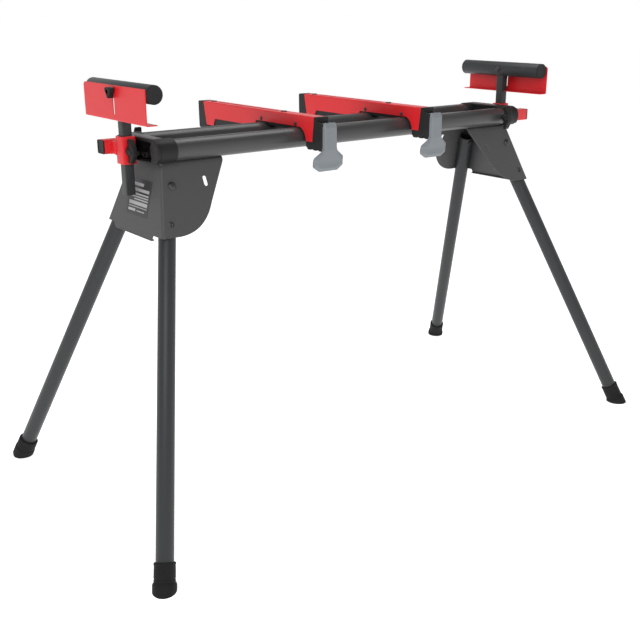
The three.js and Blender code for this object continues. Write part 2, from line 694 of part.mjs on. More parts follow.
// cheeks on both sides of the lever's hub, over a row of blunt teeth
function frontCasing() {
  const back = armFront - gap;
  const wellBack = leverPinY + leverTop + 1.5;
  const toothTop = casingBottom + toothDepth;
  const pitch = (archFoot - casingFront) / 3;
  const teeth = [0, 1, 2].flatMap((i) => {
    const y = casingFront + i * pitch;
    return [[y, toothTop], [y + 2, casingBottom], [y + pitch - 4, casingBottom], [y + pitch - 2, toothTop]];
  });
  const outline = [...teeth, [archFoot, toothTop], [archFoot, armToe - gap],
    [armFront + toeTaper - gap, armToe - gap], [back, armTop], [wellBack, armTop],
    [wellBack, leverPinZ + leverHub + 3.2],
    ...arc(leverPinY, leverPinZ, leverHub + gap, 1.35, Math.PI, 6)];
  const tongue = box(-insideHalf, insideHalf, back - 2, armFront + 18,
    armToe + 6, armTop - armWall - gap);
  const well = box(-leverWell, leverWell, casingFront - 1, wellBack, leverPinZ - 20, armTop + 1);
  const pin = rod(point(-armWidth, leverPinY, leverPinZ), X, 2 * armWidth, leverPin + gap, boltSides);
  return cut(join(lengthwise(outline, -armHalf, armHalf), tongue), well, pin);
}

function lever() {
  const face = casingFront - runGap;
  const front = face - leverThick;
  const hubHalf = leverWell - runGap;
  const top = leverPinZ + leverTop;
  const right = [[paddleFoot, leverBottom], [paddleHalf, paddleSide], [paddleHalf, paddleTop],
    [shankHalf, shankBottom], [shankHalf, top]];
  const outline = [...right, ...right.map(([x, z]) => [-x, z]).reverse()];
  const slab = sideways(outline, front - 1, face + 8);
  const shape = lengthwise([[face, leverPinZ + 1], [face - 3, top], [face - 5, top], [front, leverPinZ],
    [front, shankBottom], [front + 4.5, paddleTop - 8], [front + 5, leverBottom], [face + 5.5, leverBottom],
    [face + 5, paddleTop - 8], [face, casingBottom - 2]], -paddleHalf - 1, paddleHalf + 1);
  const hub = rod(point(-hubHalf, leverPinY, leverPinZ), X, 2 * hubHalf, leverHub, tubeSides);
  const neck = box(-hubHalf, hubHalf, face - 2, leverPinY, leverPinZ - 14, leverPinZ + 4);
  const pin = rod(point(-armWidth, leverPinY, leverPinZ), X, 2 * armWidth, leverPin + gap, boltSides);
  const hubBottom = leverPinZ - 0.9 * leverHub;
  const behind = box(-hubHalf, hubHalf, leverPinY - 1, leverPinY + 10, leverPinZ - 20, hubBottom);
  return cut(join(slab.intersect(shape), hub, neck), pin, behind);
}

function leverPinRod() {
  return rod(point(-armHalf + 0.5, leverPinY, leverPinZ), X, armWidth - 1, leverPin, boltSides);
}

function sawBolt(y) {
  const depth = 13;
  const seat = depth - 3.8;
  return turned(point(0, y, armTop - depth), Z, [[0, 0], [boltShank, 0], [boltShank, seat], [boltHead, seat],
    [boltHead, depth + 1.2], [boltHead - 1, depth + 2], [0, depth + 2]], boltSides);
}

// ---------------------------------------------------------------- assembly
piece(stand, 'beam', beam(), railPaint);

for (const [name, group] of Object.entries(ends)) {
  piece(group, `${name}_end_cap`, endCap(), blackPlastic);
  piece(group, `${name}_leg_bracket`, legBracket(), bracketPaint);
  piece(group, `${name}_extension_arm`, extensionArm(), redPaint);
  piece(group, `${name}_tube_plug`, tubePlug(), blackPlastic);
  piece(group, `${name}_extension_knob`, extensionKnob(), blackPlastic);
  piece(group, `${name}_post_knob`, postKnob(), blackPlastic);
  piece(group, `${name}_post`, post(), legPaint);
  piece(group, `${name}_support_bar`, supportBar(), legPaint);
  piece(group, `${name}_bar_bolt`, barBolt(), darkSteel);
  piece(group, `${name}_stop_plate`, stopPlate(), redPaint);
  piece(group, `${name}_stop_knob`, stopKnob(), blackPlastic);
  for (const side of [-1, 1]) {
    // the half turn of the right end swaps front and back
    const front = (side < 0) === (name === 'left');
    const place = `${front ? 'front' : 'back'}_${name}`;
    piece(group, `${place}_leg`, leg(side), legPaint);
    piece(group, `${place}_pivot_pin`, pivotPin(side), darkSteel);
    piece(group, `${place}_lock_button`, lockButton(side), darkSteel);
    if (place === 'back_left') {
      piece(group, 'levelling_foot', levellingFoot(side), rubber);
      piece(group, 'levelling_insert', threadInsert(side), blackPlastic);
    } else {
      piece(group, `${place}_boot`, boot(side), rubber);
    }
    piece(group, `${name}_bar_cap_${front ? 'front' : 'back'}`, barCap(side), blackPlastic);
  }
}

for (const [name, place] of Object.entries(armPlaces)) {
  const arm = new THREE.Group();
  arm.position.x = place;
  stand.add(arm);
  piece(arm, `${name}_arm_channel`, armChannel(), redPaint);
  piece(arm, `${name}_arm_saddle`, armSaddle(), blackPlastic);
  piece(arm, `${name}_arm_rear_end`, armRearEnd(), blackPlastic);
  piece(arm, `${name}_front_casing`, frontCasing(), blackPlastic);
  piece(arm, `${name}_lever`, lever(), greyPlastic);
  piece(arm, `${name}_lever_pin`, leverPinRod(), darkSteel);
  piece(arm, `${name}_saw_bolt_front`, sawBolt(boltFront), darkSteel);
  piece(arm, `${name}_saw_bolt_back`, sawBolt(boltBack), darkSteel);
}

export default stand;
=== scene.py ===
"""Looks of a folding mitre saw stand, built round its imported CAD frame.

Shapes are worked out in millimetres and scaled to metres as their mesh is made. The left end is
drawn once; the right end is the same set of surfaces turned half a turn about the vertical.
"""

import json
import math

import bpy
import numpy as np
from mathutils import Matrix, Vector
from mathutils.geometry import tessellate_polygon


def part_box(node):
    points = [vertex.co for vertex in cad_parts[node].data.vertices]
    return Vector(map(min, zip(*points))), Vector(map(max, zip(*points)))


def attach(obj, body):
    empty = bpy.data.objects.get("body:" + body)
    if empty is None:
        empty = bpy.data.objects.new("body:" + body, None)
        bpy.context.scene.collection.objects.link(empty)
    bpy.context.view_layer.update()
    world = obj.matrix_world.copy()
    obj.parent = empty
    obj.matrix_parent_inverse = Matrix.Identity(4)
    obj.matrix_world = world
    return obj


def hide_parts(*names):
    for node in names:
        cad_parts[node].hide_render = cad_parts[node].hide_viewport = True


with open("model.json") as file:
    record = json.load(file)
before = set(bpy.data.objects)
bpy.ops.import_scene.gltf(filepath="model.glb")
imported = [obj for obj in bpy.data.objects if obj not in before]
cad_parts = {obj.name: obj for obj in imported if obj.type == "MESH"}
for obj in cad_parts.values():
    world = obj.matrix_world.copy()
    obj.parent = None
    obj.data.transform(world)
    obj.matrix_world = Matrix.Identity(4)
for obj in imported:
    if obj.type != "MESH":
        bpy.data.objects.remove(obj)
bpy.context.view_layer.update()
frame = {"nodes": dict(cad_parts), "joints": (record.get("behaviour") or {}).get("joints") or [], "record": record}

MM = 0.001
X, Y, Z = np.eye(3)
TAU = 2 * math.pi


def box_mm(node):
    """Lowest and highest corner of a CAD node, in millimetres."""
    low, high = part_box(node)
    return np.array(low) / MM, np.array(high) / MM


joints = {j["name"]: j for j in frame["joints"]}
mounts = {m["name"]: m for m in frame["record"]["mounts"]}

# ------------------------------------------------------------------ sizes, in millimetres
AIR = 0.3   # room between two pieces that touch in the real stand
SHEET = 2.0
FOLD = 3.0

# the beam: two rails and the web between them
beam_low, beam_high = box_mm("beam")
RAIL_R = (beam_high[2] - beam_low[2]) / 2
RAIL_Z = (beam_high[2] + beam_low[2]) / 2
RAIL_Y = beam_high[1] - RAIL_R
BEAM_END = beam_high[0]
RAIL_WALL = 2.0
WEB_HALF = 47.6
WEB_END = 481.0
WEB_DROP = 11.5

# the beam's end caps
CAP_R = RAIL_R + 2.5
CAP_FACE = -(BEAM_END + 8)
SLEEVE_X = -482.0
SLEEVE = 37.5
BRIDGE_HALF = 58.0

# the leg brackets; a lean is the run of a face for each unit of drop
SIDE_LEAN = 0.42
WEB_LEAN = 0.25
SIDE_TOP_Z = 733.0
SIDE_TOP_Y = 65.7
END_TOP_X = -511.0
BRACKET_INNER_X = -366.0
BRACKET_TOP = box_mm("left_leg_bracket")[1][2]
BRACKET_CORNER_Z = 603.0
TOP_BEND = 8.0
CORNER_BEND = 6.0

# the legs, from the pivot to the sole
LEG_R = 17.5
LEG_WALL = 1.8
LEG_HEAD = 12.0
LEG_STOP = 14.3
BOOT_TOP = 52.0
PIVOT = np.array(joints["front_left_leg_fold"]["pos_m"]) / MM
FOOT = np.array(mounts["front_left_sole"]["pos_m"]) / MM
LEG_REACH = float(np.linalg.norm(PIVOT - FOOT))
LOCK_ARM = 78.0
HALF_LOCK_SLOT = 4.8

# the extension arms, the posts in their collars and the bars on the posts
TUBE = 28.0
TUBE_WALL = 2.0
TUBE_END = -571.0
TUBE_LENGTH = 700.0
COLLAR = 30.0
COLLAR_HEIGHT = 55.0
BORE = TUBE + 0.8
RAIL_KNOB_X = -472.0
COLLAR_X = -544.5
COLLAR_BRIDGE_X = COLLAR_X - 1.5
POST_Y = 10.0
POST = 20.0
BAR_R = 18.25
BAR_Z = 878.0

# the saw arms and their clamp levers, drawn round x = 0
ARM_HALF = 16.0
LINER_HALF = ARM_HALF - SHEET - AIR
BOLTS = (2.0, 293.0)
BOLT_SLOT_R = 3.5
ARM_TOP = box_mm("left_arm_channel")[1][2]
ARM_FRONT = box_mm("left_arm_channel")[0][1]
ARM_BACK = box_mm("left_arm_channel")[1][1]
CASING_LOW, CASING_HIGH = box_mm("left_front_casing")
CHEEK = 5.7
LEVER_LOW, LEVER_HIGH = box_mm("left_lever")
LEVER_PIN = np.array(joints["left_lever_swing"]["pos_m"])[1:] / MM
HUB_R = 8.0
HUB_HALF = 9.8
SHANK_HALF = 16.5
PADDLE_HALF = 39.0
SIDE_SCREWS = (-62.0, 69.0)
SCREW_Z = RAIL_Z + RAIL_R + 7.5


# ------------------------------------------------------------------ surfaces
def together(*parts):
    """Several surfaces as one list of points and one list of faces."""
    points, faces, start = [], [], 0
    for some_points, some_faces in parts:
        points.append(np.asarray(some_points, float))
        faces += [tuple(int(i) + start for i in face) for face in some_faces]
        start += len(some_points)
    return np.concatenate(points), faces


def ring_faces(rings, around, closed=False):
    """Quads between neighbouring rings of equal length; each ring closes on itself."""
    i = np.arange(rings if closed else rings - 1)[:, None]
    j = np.arange(around)[None, :]
    after = (i + 1) % rings
    beside = (j + 1) % around
    corners = [i * around + j, i * around + beside, after * around + beside, after * around + j]
    return np.stack(corners, -1).reshape(-1, 4).tolist()


def rounded(points, radius, closed=True, steps=4):
    """A polyline whose corners are circular arcs, each tangent to its corner's two edges."""
    points = np.asarray(points, float)
    count = len(points)
    radii = np.broadcast_to(radius, (count,))
    out = []
    for i, corner in enumerate(points):
        if radii[i] <= 0 or (not closed and i in (0, count - 1)):
            out.append(corner[None])
            continue
        back, ahead = points[i - 1] - corner, points[(i + 1) % count] - corner
        room = min(np.linalg.norm(back), np.linalg.norm(ahead)) * 0.49
        back, ahead = back / np.linalg.norm(back), ahead / np.linalg.norm(ahead)
        angle = math.acos(float(np.clip(back @ ahead, -1, 1)))
        if angle > math.pi - 0.02:
            out.append(corner[None])
            continue
        reach = min(radii[i] / math.tan(angle / 2), room)
        size = reach * math.tan(angle / 2)
        middle = (back + ahead) / np.linalg.norm(back + ahead)
        centre = corner + middle * size / math.sin(angle / 2)
        first, last = corner + back * reach - centre, corner + ahead * reach - centre
        sweep = math.pi - angle
        k = np.linspace(0, 1, steps + 1)[:, None]
        out.append(centre + (np.sin((1 - k) * sweep) * first + np.sin(k * sweep) * last) / math.sin(sweep))
    return np.concatenate(out)


def arc(cx, cy, radius, start, stop, steps=12):
    """Points on a circle from one angle to another, in degrees."""
    angle = np.radians(np.linspace(start, stop, steps + 1))
    return np.stack([cx + radius * np.cos(angle), cy + radius * np.sin(angle)], -1)


def square(side, corner, cx=0.0, cy=0.0, other=None):
    """A rectangle with round corners, counter-clockwise."""
    a, b = side / 2, (other or side) / 2
    return rounded([[cx - a, cy - b], [cx + a, cy - b], [cx + a, cy + b], [cx - a, cy + b]], corner)


def across(axis):
    """Two unit vectors that make a right-handed set with the given one."""
    axis = np.asarray(axis, float) / np.linalg.norm(axis)
    start = Z if abs(axis[2]) < 0.9 else X
    u = np.cross(start, axis)
    u /= np.linalg.norm(u)
    return u, np.cross(axis, u), axis


def lathe(start, axis, profile, sides=64, wave=None):
    """A profile of (radius, height) pairs turned about an axis: p = start + h a + r (u cos t + v sin t).

    The profile runs up the outside. If its ends are off the axis, it closes on itself. wave is a
    function of angle and height that is added to the radius.
    """
    profile = np.asarray(profile, float)
    u, v, a = across(axis)
    t = np.linspace(0, TAU, sides, endpoint=False)[None, :]
    r, h = profile[:, :1], profile[:, 1:]
    if wave is not None:
        r = r + wave(t, h) * (r > 1e-6)
    ring = np.cos(t)[..., None] * u + np.sin(t)[..., None] * v
    points = np.asarray(start, float) + h[..., None] * a + (r * np.ones_like(t))[..., None] * ring
    closed = profile[0, 0] > 1e-6
    faces = ring_faces(len(profile), sides, closed)
    if closed:
        return points.reshape(-1, 3), faces
    last = (len(profile) - 1) * sides
    joined = [tuple(dict.fromkeys(0 if i < sides else last if i >= last else i for i in f)) for f in faces]
    flat = points.reshape(-1, 3)
    keep = np.r_[0, np.arange(sides, last + 1)]
    number = {int(old): new for new, old in enumerate(keep)}
    return flat[keep], [tuple(number[i] for i in f) for f in joined]


def turned(start, axis, profile, radii, sides, steps=4, wave=None):
    """A solid turned from a profile that leaves the axis and comes back to it, with round corners."""
    return lathe(start, axis, rounded(profile, radii, closed=False, steps=steps), sides, wave)


def inset(loop, distance):
    """A closed outline moved to its left by a distance, with mitred corners."""
    edge = np.roll(loop, -1, 0) - loop
    edge /= np.maximum(np.linalg.norm(edge, axis=1, keepdims=True), 1e-9)
    left = np.stack([-edge[:, 1], edge[:, 0]], -1)
    before = np.roll(left, 1, 0)
    share = 1 + np.sum(left * before, 1, keepdims=True)
    return loop + distance * (left + before) / np.maximum(share, 0.5)


def turning(loop, clockwise):
    """The outline in the asked direction, judged by its signed area."""
    nxt = np.roll(loop, -1, 0)
    area = np.sum(loop[:, 0] * nxt[:, 1] - nxt[:, 0] * loop[:, 1])
    return loop[::-1] if (area > 0) == clockwise else loop


def slab(outline, u, v, start, depth, edge=0.6, holes=(), steps=3):
    """A flat plate: the outline in the plane of u and v, carried along u x v, with round edges.

    At angle t of the edge's quarter circle the outline is inset by e (1 - sin t) at a height of
    e (1 - cos t). Holes are outlines too, and their edges are rounded into the plate.
    """
    w = np.cross(u, v)
    loops = [turning(np.asarray(outline, float), False)]
    loops += [turning(np.asarray(h, float), True) for h in holes]
    t = np.linspace(0, math.pi / 2, steps + 1)
    ins = np.r_[edge * (1 - np.sin(t)), (edge * (1 - np.sin(t)))[::-1]]
    high = np.r_[edge * (1 - np.cos(t)), (depth - edge * (1 - np.cos(t)))[::-1]]
    parts = []
    lids = [[], []]
    for loop in loops:
        rings = [inset(loop, a) for a in ins]
        points = [r[:, :1] * u + r[:, 1:] * v + h * w for r, h in zip(rings, high)]
        parts.append((np.concatenate(points), ring_faces(len(rings), len(loop))))
        lids[0].append(rings[0])
        lids[1].append(rings[-1])
    for rings, height, flip in ((lids[0], 0.0, True), (lids[1], depth, False)):
        flat = np.concatenate(rings)
        faces = []
        for tri in tessellate_polygon([[Vector((*p, 0)) for p in ring] for ring in rings]):
            a, b, c = (flat[i] for i in tri)
            up = np.cross(b - a, c - a) > 0
            faces.append(tuple(tri[::-1]) if up == flip else tuple(tri))
        parts.append((flat[:, :1] * u + flat[:, 1:] * v + height * w, faces))
    points, faces = together(*parts)
    return points + np.asarray(start, float), faces


def carried(section, path, up):
    """A closed outline carried along a path: p = path + x s + y n, with n nearest to up."""
    section = turning(np.asarray(section, float), False)
    path = np.asarray(path, float)
    t = np.gradient(path, axis=0)
    t /= np.linalg.norm(t, axis=1, keepdims=True)
    s = np.cross(np.asarray(up, float), t)
    s /= np.linalg.norm(s, axis=1, keepdims=True)
    n = np.cross(t, s)
    rings = path[:, None] + section[None, :, :1] * s[:, None] + section[None, :, 1:] * n[:, None]
    around = len(section)
    faces = ring_faces(len(path), around)
    faces.append(tuple(range(around))[::-1])
    faces.append(tuple(range((len(path) - 1) * around, len(path) * around)))
    return rings.reshape(-1, 3), faces


def bend(first, last, from_normal, to_normal, radius, thick, steps=8):
    """A folded strip of sheet along a straight line: an arc of a ring carried from end to end.

    first and last are the ends of the bend's own centre line, and the two normals say where the
    fold starts and stops.
    """
    first, last = np.asarray(first, float), np.asarray(last, float)
    a = np.asarray(from_normal, float) / np.linalg.norm(from_normal)
    b = np.asarray(to_normal, float) / np.linalg.norm(to_normal)
    angle = math.acos(float(np.clip(a @ b, -1, 1)))
    k = np.linspace(0, 1, steps + 1)[:, None]
    fan = (np.sin((1 - k) * angle) * a + np.sin(k * angle) * b) / math.sin(angle)
    section = np.concatenate([fan * radius, (fan * (radius - thick))[::-1]])
    along = last - first
    if np.dot(np.cross(a, b), along) < 0:
        first, last = last, first
    points = np.concatenate([section + first, section + last])
    count = len(section)
    faces = ring_faces(2, count) + [tuple(range(count))[::-1], tuple(range(count, 2 * count))]
    return points, faces


def loft(rings):
    """Equal closed rings of points joined in order, with flat lids on the first and the last."""
    rings = np.asarray(rings, float)
    count, around = rings.shape[:2]
    faces = ring_faces(count, around)
    faces.append(tuple(range(around))[::-1])
    faces.append(tuple(range((count - 1) * around, count * around)))
    return rings.reshape(-1, 3), faces


def moved(part, offset):
    """The surface shifted by an offset."""
    return part[0] + np.asarray(offset, float), part[1]


def half_turn(part):
    """The surface turned half a turn about the vertical through the origin."""
    return part[0] * np.array([-1.0, -1.0, 1.0]), part[1]


# ------------------------------------------------------------------ shader maths
class Value:
    """A socket that can be added, multiplied, subtracted and compared, each with a Math node."""

    def __init__(self, graph, socket):
        self.graph, self.socket = graph, socket

    def math(self, operation, first, second):
        return self.graph.node("ShaderNodeMath", {"operation": operation}, {0: first, 1: second})

    def __add__(self, other):
        return self.math("ADD", self, other)

    def __mul__(self, other):
        return self.math("MULTIPLY", self, other)

    def __rsub__(self, other):
        return self.math("SUBTRACT", other, self)

    def __gt__(self, other):
        return self.math("GREATER_THAN", self, other)

    __radd__ = __add__
    __rmul__ = __mul__


class Graph:
    """A node tree and the one method that adds nodes to it."""

    def __init__(self, tree):
        self.tree = tree
        tree.nodes.clear()

    def node(self, kind, settings, inputs, output=0):
        """Adds a node, sets its settings first and then its sockets, and returns one output."""
        node = self.tree.nodes.new(kind)
        for key, value in settings.items():
            if key == "stops":
                for element, (position, colour) in zip(node.color_ramp.elements, value):
                    element.position, element.color = position, colour
            else:
                setattr(node, key, value)
        for key, value in inputs.items():
            if isinstance(value, Value):
                self.tree.links.new(value.socket, node.inputs[key])
            else:
                node.inputs[key].default_value = value
        return Value(self, node.outputs[output]) if node.outputs else None


class Finish(Graph):
    """A material, its patterns and its surface shader."""

    def __init__(self, name):
        self.material = bpy.data.materials.new(name)
        self.material.use_nodes = True
        super().__init__(self.material.node_tree)
        self.place = self.node("ShaderNodeTexCoord", {}, {}, "Object")

    def noise(self, scale, detail=3.0, rough=0.5):
        inputs = {"Vector": self.place, "Scale": scale, "Detail": detail, "Roughness": rough}
        return self.node("ShaderNodeTexNoise", {}, inputs)

    def grains(self, scale):
        return self.node("ShaderNodeTexVoronoi", {}, {"Vector": self.place, "Scale": scale})

    def blend(self, factor, first, second):
        return self.node("ShaderNodeMix", {"data_type": "RGBA"}, {0: factor, 6: first, 7: second}, 2)

    def surface(self, colour, roughness, height=None, bump=0.1, depth=0.0002, **fixed):
        """The Principled shader, with an optional bump, wired to the material's output."""
        inputs = {"Base Color": colour, "Roughness": roughness}
        inputs.update({key.replace("_", " "): value for key, value in fixed.items()})
        if height is not None:
            skin = {"Strength": bump, "Distance": depth, "Height": height}
            inputs["Normal"] = self.node("ShaderNodeBump", {}, skin)
        shader = self.node("ShaderNodeBsdfPrincipled", {}, inputs)
        self.node("ShaderNodeOutputMaterial", {}, {"Surface": shader})
        return self.material


def grey(level, warm=0.0):
    """A grey of one level, with a little more red and less blue where it is warm."""
    return (level * (1 + warm), level, level * (1 - warm), 1.0)


def powder_coat(name, dark, light, roughness=0.42, gloss=0.35, bump=0.12):
    """Baked powder paint: a fine orange-peel skin over slightly uneven colour."""
    f = Finish(name)
    cloud = f.noise(9.0, 4.0)
    speck = f.noise(1400.0, 2.0)
    peel = f.noise(620.0, 2.0, 0.6)
    colour = f.blend(cloud * 0.6 + speck * 0.4, dark, light)
    return f.surface(colour, peel * 0.14 + (roughness - 0.07), peel + speck * 0.35, bump, 0.0003,
                     Specular_IOR_Level=gloss)


def moulded(name, dark, light, roughness=0.5, grain=1900.0, gloss=0.22):
    """Injection-moulded plastic with a spark-eroded grain."""
    f = Finish(name)
    cloud = f.noise(14.0, 3.0)
    spark = f.grains(grain)
    fine = f.noise(grain * 1.6, 2.0)
    colour = f.blend(cloud * 0.7 + spark * 0.3, dark, light)
    return f.surface(colour, fine * 0.16 + (roughness - 0.08), spark * 0.6 + fine * 0.4, 0.22, 0.00025,
                     Specular_IOR_Level=gloss)


def cast_rubber(name):
    """Soft rubber: matt, with a faint dusty bloom on top of its grain."""
    f = Finish(name)
    dust = f.noise(45.0, 5.0, 0.65)
    pores = f.noise(1500.0, 3.0)
    colour = f.blend(dust * dust, grey(0.007), grey(0.02, 0.02))
    return f.surface(colour, dust * 0.18 + 0.62, pores, 0.3, 0.0003, Specular_IOR_Level=0.2)


def blackened_steel(name, dark=0.045, light=0.11):
    """Black-oxide steel with turning marks and brighter patches."""
    f = Finish(name)
    patch = f.noise(120.0, 4.0)
    marks = f.noise(2600.0, 2.0)
    colour = f.blend(patch, grey(dark), grey(light))
    return f.surface(colour, patch * 0.2 + 0.3, marks, 0.12, 0.0002, Metallic=0.85)


def printed_label(name, dark, pale, bars):
    """A dark sticker with plain pale bars; each bar is a box in Y and Z, in millimetres."""
    f = Finish(name)
    y = f.node("ShaderNodeSeparateXYZ", {}, {0: f.place}, 1)
    z = f.node("ShaderNodeSeparateXYZ", {}, {0: f.place}, 2)

    def between(value, low, high):
        return (value > float(low)) * (1 - (value > float(high)))

    mask = sum(between(y, y0, y1) * between(z, z0, z1) for y0, y1, z0, z1 in np.array(bars) * MM)
    worn = f.noise(700.0, 4.0)
    colour = f.blend(mask * (worn * 0.3 + 0.7), dark, pale)
    return f.surface(colour, worn * 0.1 + 0.4)


RAIL_PAINT = powder_coat("rail_paint", grey(0.036), grey(0.05), 0.33, 0.5, 0.05)
BRACKET_PAINT = powder_coat("bracket_paint", grey(0.058), grey(0.072), 0.5)
LEG_PAINT = powder_coat("leg_paint", (0.027, 0.03, 0.031, 1), (0.035, 0.038, 0.039, 1), 0.4, 0.3)
RED_PAINT = powder_coat("red_paint", (0.6, 0.009, 0.014, 1), (0.68, 0.016, 0.022, 1), 0.36, 0.34)
BLACK_PLASTIC = moulded("black_plastic", grey(0.01), grey(0.018))
RIBBED_PLASTIC = moulded("ribbed_black_plastic", grey(0.012), grey(0.02), 0.34, gloss=0.6)
GREY_PLASTIC = moulded("grey_plastic", (0.17, 0.185, 0.2, 1), (0.21, 0.23, 0.245, 1), 0.46, gloss=0.4)
ZINC = blackened_steel("zinc_plate", 0.16, 0.3)
LABEL_BARS = [
    [-12, 38, 688, 694], [-38, 38, 677, 683], [-38, 38, 670, 673], [-38, 38, 665, 667.5],
    [-38, 20, 660, 662.5], [-38, 38, 650, 657], [-38, 38, 645.5, 647], [8, 38, 637, 642],
    [-30, 2, 638, 640]]
LABEL = printed_label("label", grey(0.022), grey(0.42), LABEL_BARS)
RUBBER = cast_rubber("rubber")
DARK_STEEL = blackened_steel("dark_steel")
FINISHES = {
    "rail_paint": RAIL_PAINT, "bracket_paint": BRACKET_PAINT, "leg_paint": LEG_PAINT,
    "red_paint": RED_PAINT, "black_plastic": BLACK_PLASTIC, "grey_plastic": GREY_PLASTIC,
    "rubber": RUBBER, "dark_steel": DARK_STEEL}

for row in frame["record"]["subparts"]:
    held = frame["nodes"][row["node"]].data.materials
    held.clear()
    held.append(FINISHES[row["material_slot"]])


# ------------------------------------------------------------------ pieces
def piece(name, part, body, slot, replaces=(), material=None, sharp=32.0):
    """Makes one object of a surface, shades it smooth except at sharp edges, and lets it ride."""
    points, faces = part
    mesh = bpy.data.meshes.new(name)
    mesh.from_pydata((points * MM).tolist(), [], faces)
    mesh.validate()
    mesh.shade_smooth()
    mesh.set_sharp_from_angle(angle=math.radians(sharp))
    obj = bpy.data.objects.new(name, mesh)
    bpy.context.scene.collection.objects.link(obj)
    obj.data.materials.append(material or FINISHES[slot])
    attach(obj, body)
    if replaces:
        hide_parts(*replaces)
    return obj


def tube_ring(radius, wall, length, edge=0.6):
    """The closed wall profile of a round tube, running up its outside."""
    bore = radius - wall
    return rounded([[radius, 0], [radius, length], [bore, length], [bore, 0]], edge, steps=3)


def disc(radius, height, edge):
    """A solid cylinder's profile with a round top edge."""
    body = [[0, 0], [radius, 0], [radius, height], [0, height]]
    return rounded(body, [0, edge / 3, edge, 0], closed=False, steps=5)


def beam():
    """Two round rails and the dished sheet between them."""
    ring = tube_ring(RAIL_R, RAIL_WALL, 2 * BEAM_END)
    rails = [lathe([-BEAM_END, side * RAIL_Y, RAIL_Z], X, ring, 96) for side in (-1, 1)]
    low = RAIL_Z - WEB_DROP - SHEET / 2
    high = low + SHEET
    floor = low + 0.4
    rim, hollow = WEB_HALF - 9, WEB_HALF - 13
    dish = rounded([[-WEB_HALF, low], [WEB_HALF, low], [WEB_HALF, high], [rim, high], [hollow, floor],
                    [-hollow, floor], [-rim, high], [-WEB_HALF, high]], 0.3, steps=2)
    path = np.linspace([-WEB_END, 0, 0], [WEB_END, 0, 0], 9)
    return together(*rails, carried(dish, path, Z))


def end_cap():
    """Two sleeves with their rivets, one end plate with a deep hollow, and the tube's square neck."""
    inner = RAIL_R + AIR
    collar = rounded([[CAP_R - AIR, 0], [CAP_R, 3], [CAP_R, SLEEVE], [inner, SLEEVE], [inner, 0]],
                     [0.8, 2, 0, 0, 0.3], steps=3)
    rivet = rounded([[4.6, 0], [4.6, 1.5], [3.4, 1.5], [2.2, 0.9], [2.2, 0]], 0.3)
    parts = []
    for side in (-1, 1):
        parts.append(lathe([SLEEVE_X, side * RAIL_Y, RAIL_Z], -X, collar, 72))
        skin = side * (RAIL_Y + CAP_R - 1.6)
        parts.append(lathe([SLEEVE_X - 14, skin, RAIL_Z - 1], Y * side, rivet, 28))
    top, low = RAIL_Z + CAP_R, RAIL_Z - CAP_R
    plate = np.concatenate([arc(RAIL_Y, RAIL_Z, CAP_R, -90, 90, 30),
                            arc(-RAIL_Y, RAIL_Z, CAP_R, 90, 270, 30)])
    bore = square(BORE, 3, RAIL_Y, RAIL_Z)
    reach = RAIL_Y - CAP_R
    hollow = rounded(np.concatenate([
        [[reach - 3, low + 4.5]], arc(reach + 20, RAIL_Z + 6, 21, 200, 150, 8), [[reach + 4, top - 6]],
        arc(-57, top - 10, 4, 90, 160, 5), arc(-44, RAIL_Z + 2, 20, 160, 215, 8), [[-57, low + 4.5]]]), 1.2)
    parts.append(slab(plate, Y, Z, [CAP_FACE, 0, 0], 7.8, 1.6, [bore, hollow]))
    # the walls of the hollow run back from the end plate to its floor
    rim = inset(turning(hollow, False), -2.0)
    parts.append(slab(rim, Y, Z, [CAP_FACE + 7.4, 0, 0], 17.6, 0.1, [hollow]))
    parts.append(slab(rim, Y, Z, [CAP_FACE + 24.6, 0, 0], 2.4, 0.2))
    # the neck round the tube's bore stands out in two steps
    for size, ahead, depth, edge in ((38, 2.2, 2.6, 1.6), (34.5, 4.4, 5, 0.9)):
        step = square(size, 6 * size / 38, RAIL_Y, RAIL_Z)
        parts.append(slab(step, Y, Z, [CAP_FACE - ahead, 0, 0], depth, edge, [bore]))
    near, far = CAP_FACE + 0.4, CAP_FACE + 20
    lip = rounded([[near, low], [far, low], [far, low + 2.4], [near, low + 2.4]], 0.8)
    parts.append(carried(lip, np.linspace([0, BRIDGE_HALF, 0], [0, -BRIDGE_HALF, 0], 3), Z))
    # a round boss and a square one stand on the hollow's floor
    boss_y, boss_z = 14, RAIL_Z - 12
    parts.append(lathe([CAP_FACE + 25, boss_y, boss_z], -X, disc(6.4, 16, 1.4), 32))
    parts.append(slab(square(20, 3, -boss_y, boss_z, 12), Y, Z, [CAP_FACE + 9, 0, 0], 16, 1.6,
                      [square(11, 1.5, -boss_y, boss_z, 7)]))
    return together(*parts)


def cap_strip():
    """The grooved strip along the top of the cap's bridge."""
    ribs = rounded([[8, -5.5], [29, -5.5], [29, -0.6], [25, 0], [21, 0], [20, -0.8], [19, 0], [14, 0],
                    [13, -0.8], [12, 0], [8, 0]], 0.4, steps=2)
    path = np.linspace([0, BRIDGE_HALF, 0], [0, -BRIDGE_HALF, 0], 5)
    return carried(ribs + [CAP_FACE, RAIL_Z + CAP_R], path, Z)


# ------------------------------------------------------------------ the leg bracket
def side_y(z):
    """How far out a side's outer face is at height z."""
    return SIDE_TOP_Y + SIDE_LEAN * (SIDE_TOP_Z - z)


def end_x(z):
    """Where the end web's outer face is at height z."""
    return END_TOP_X - WEB_LEAN * (SIDE_TOP_Z - z)


LEAN = math.atan(SIDE_LEAN)
TILT = math.atan(WEB_LEAN)


def out_of_side(side):
    """The outward normal of a bracket side; side is -1 in front and +1 behind."""
    return np.array([0, side * math.cos(LEAN), math.sin(LEAN)])


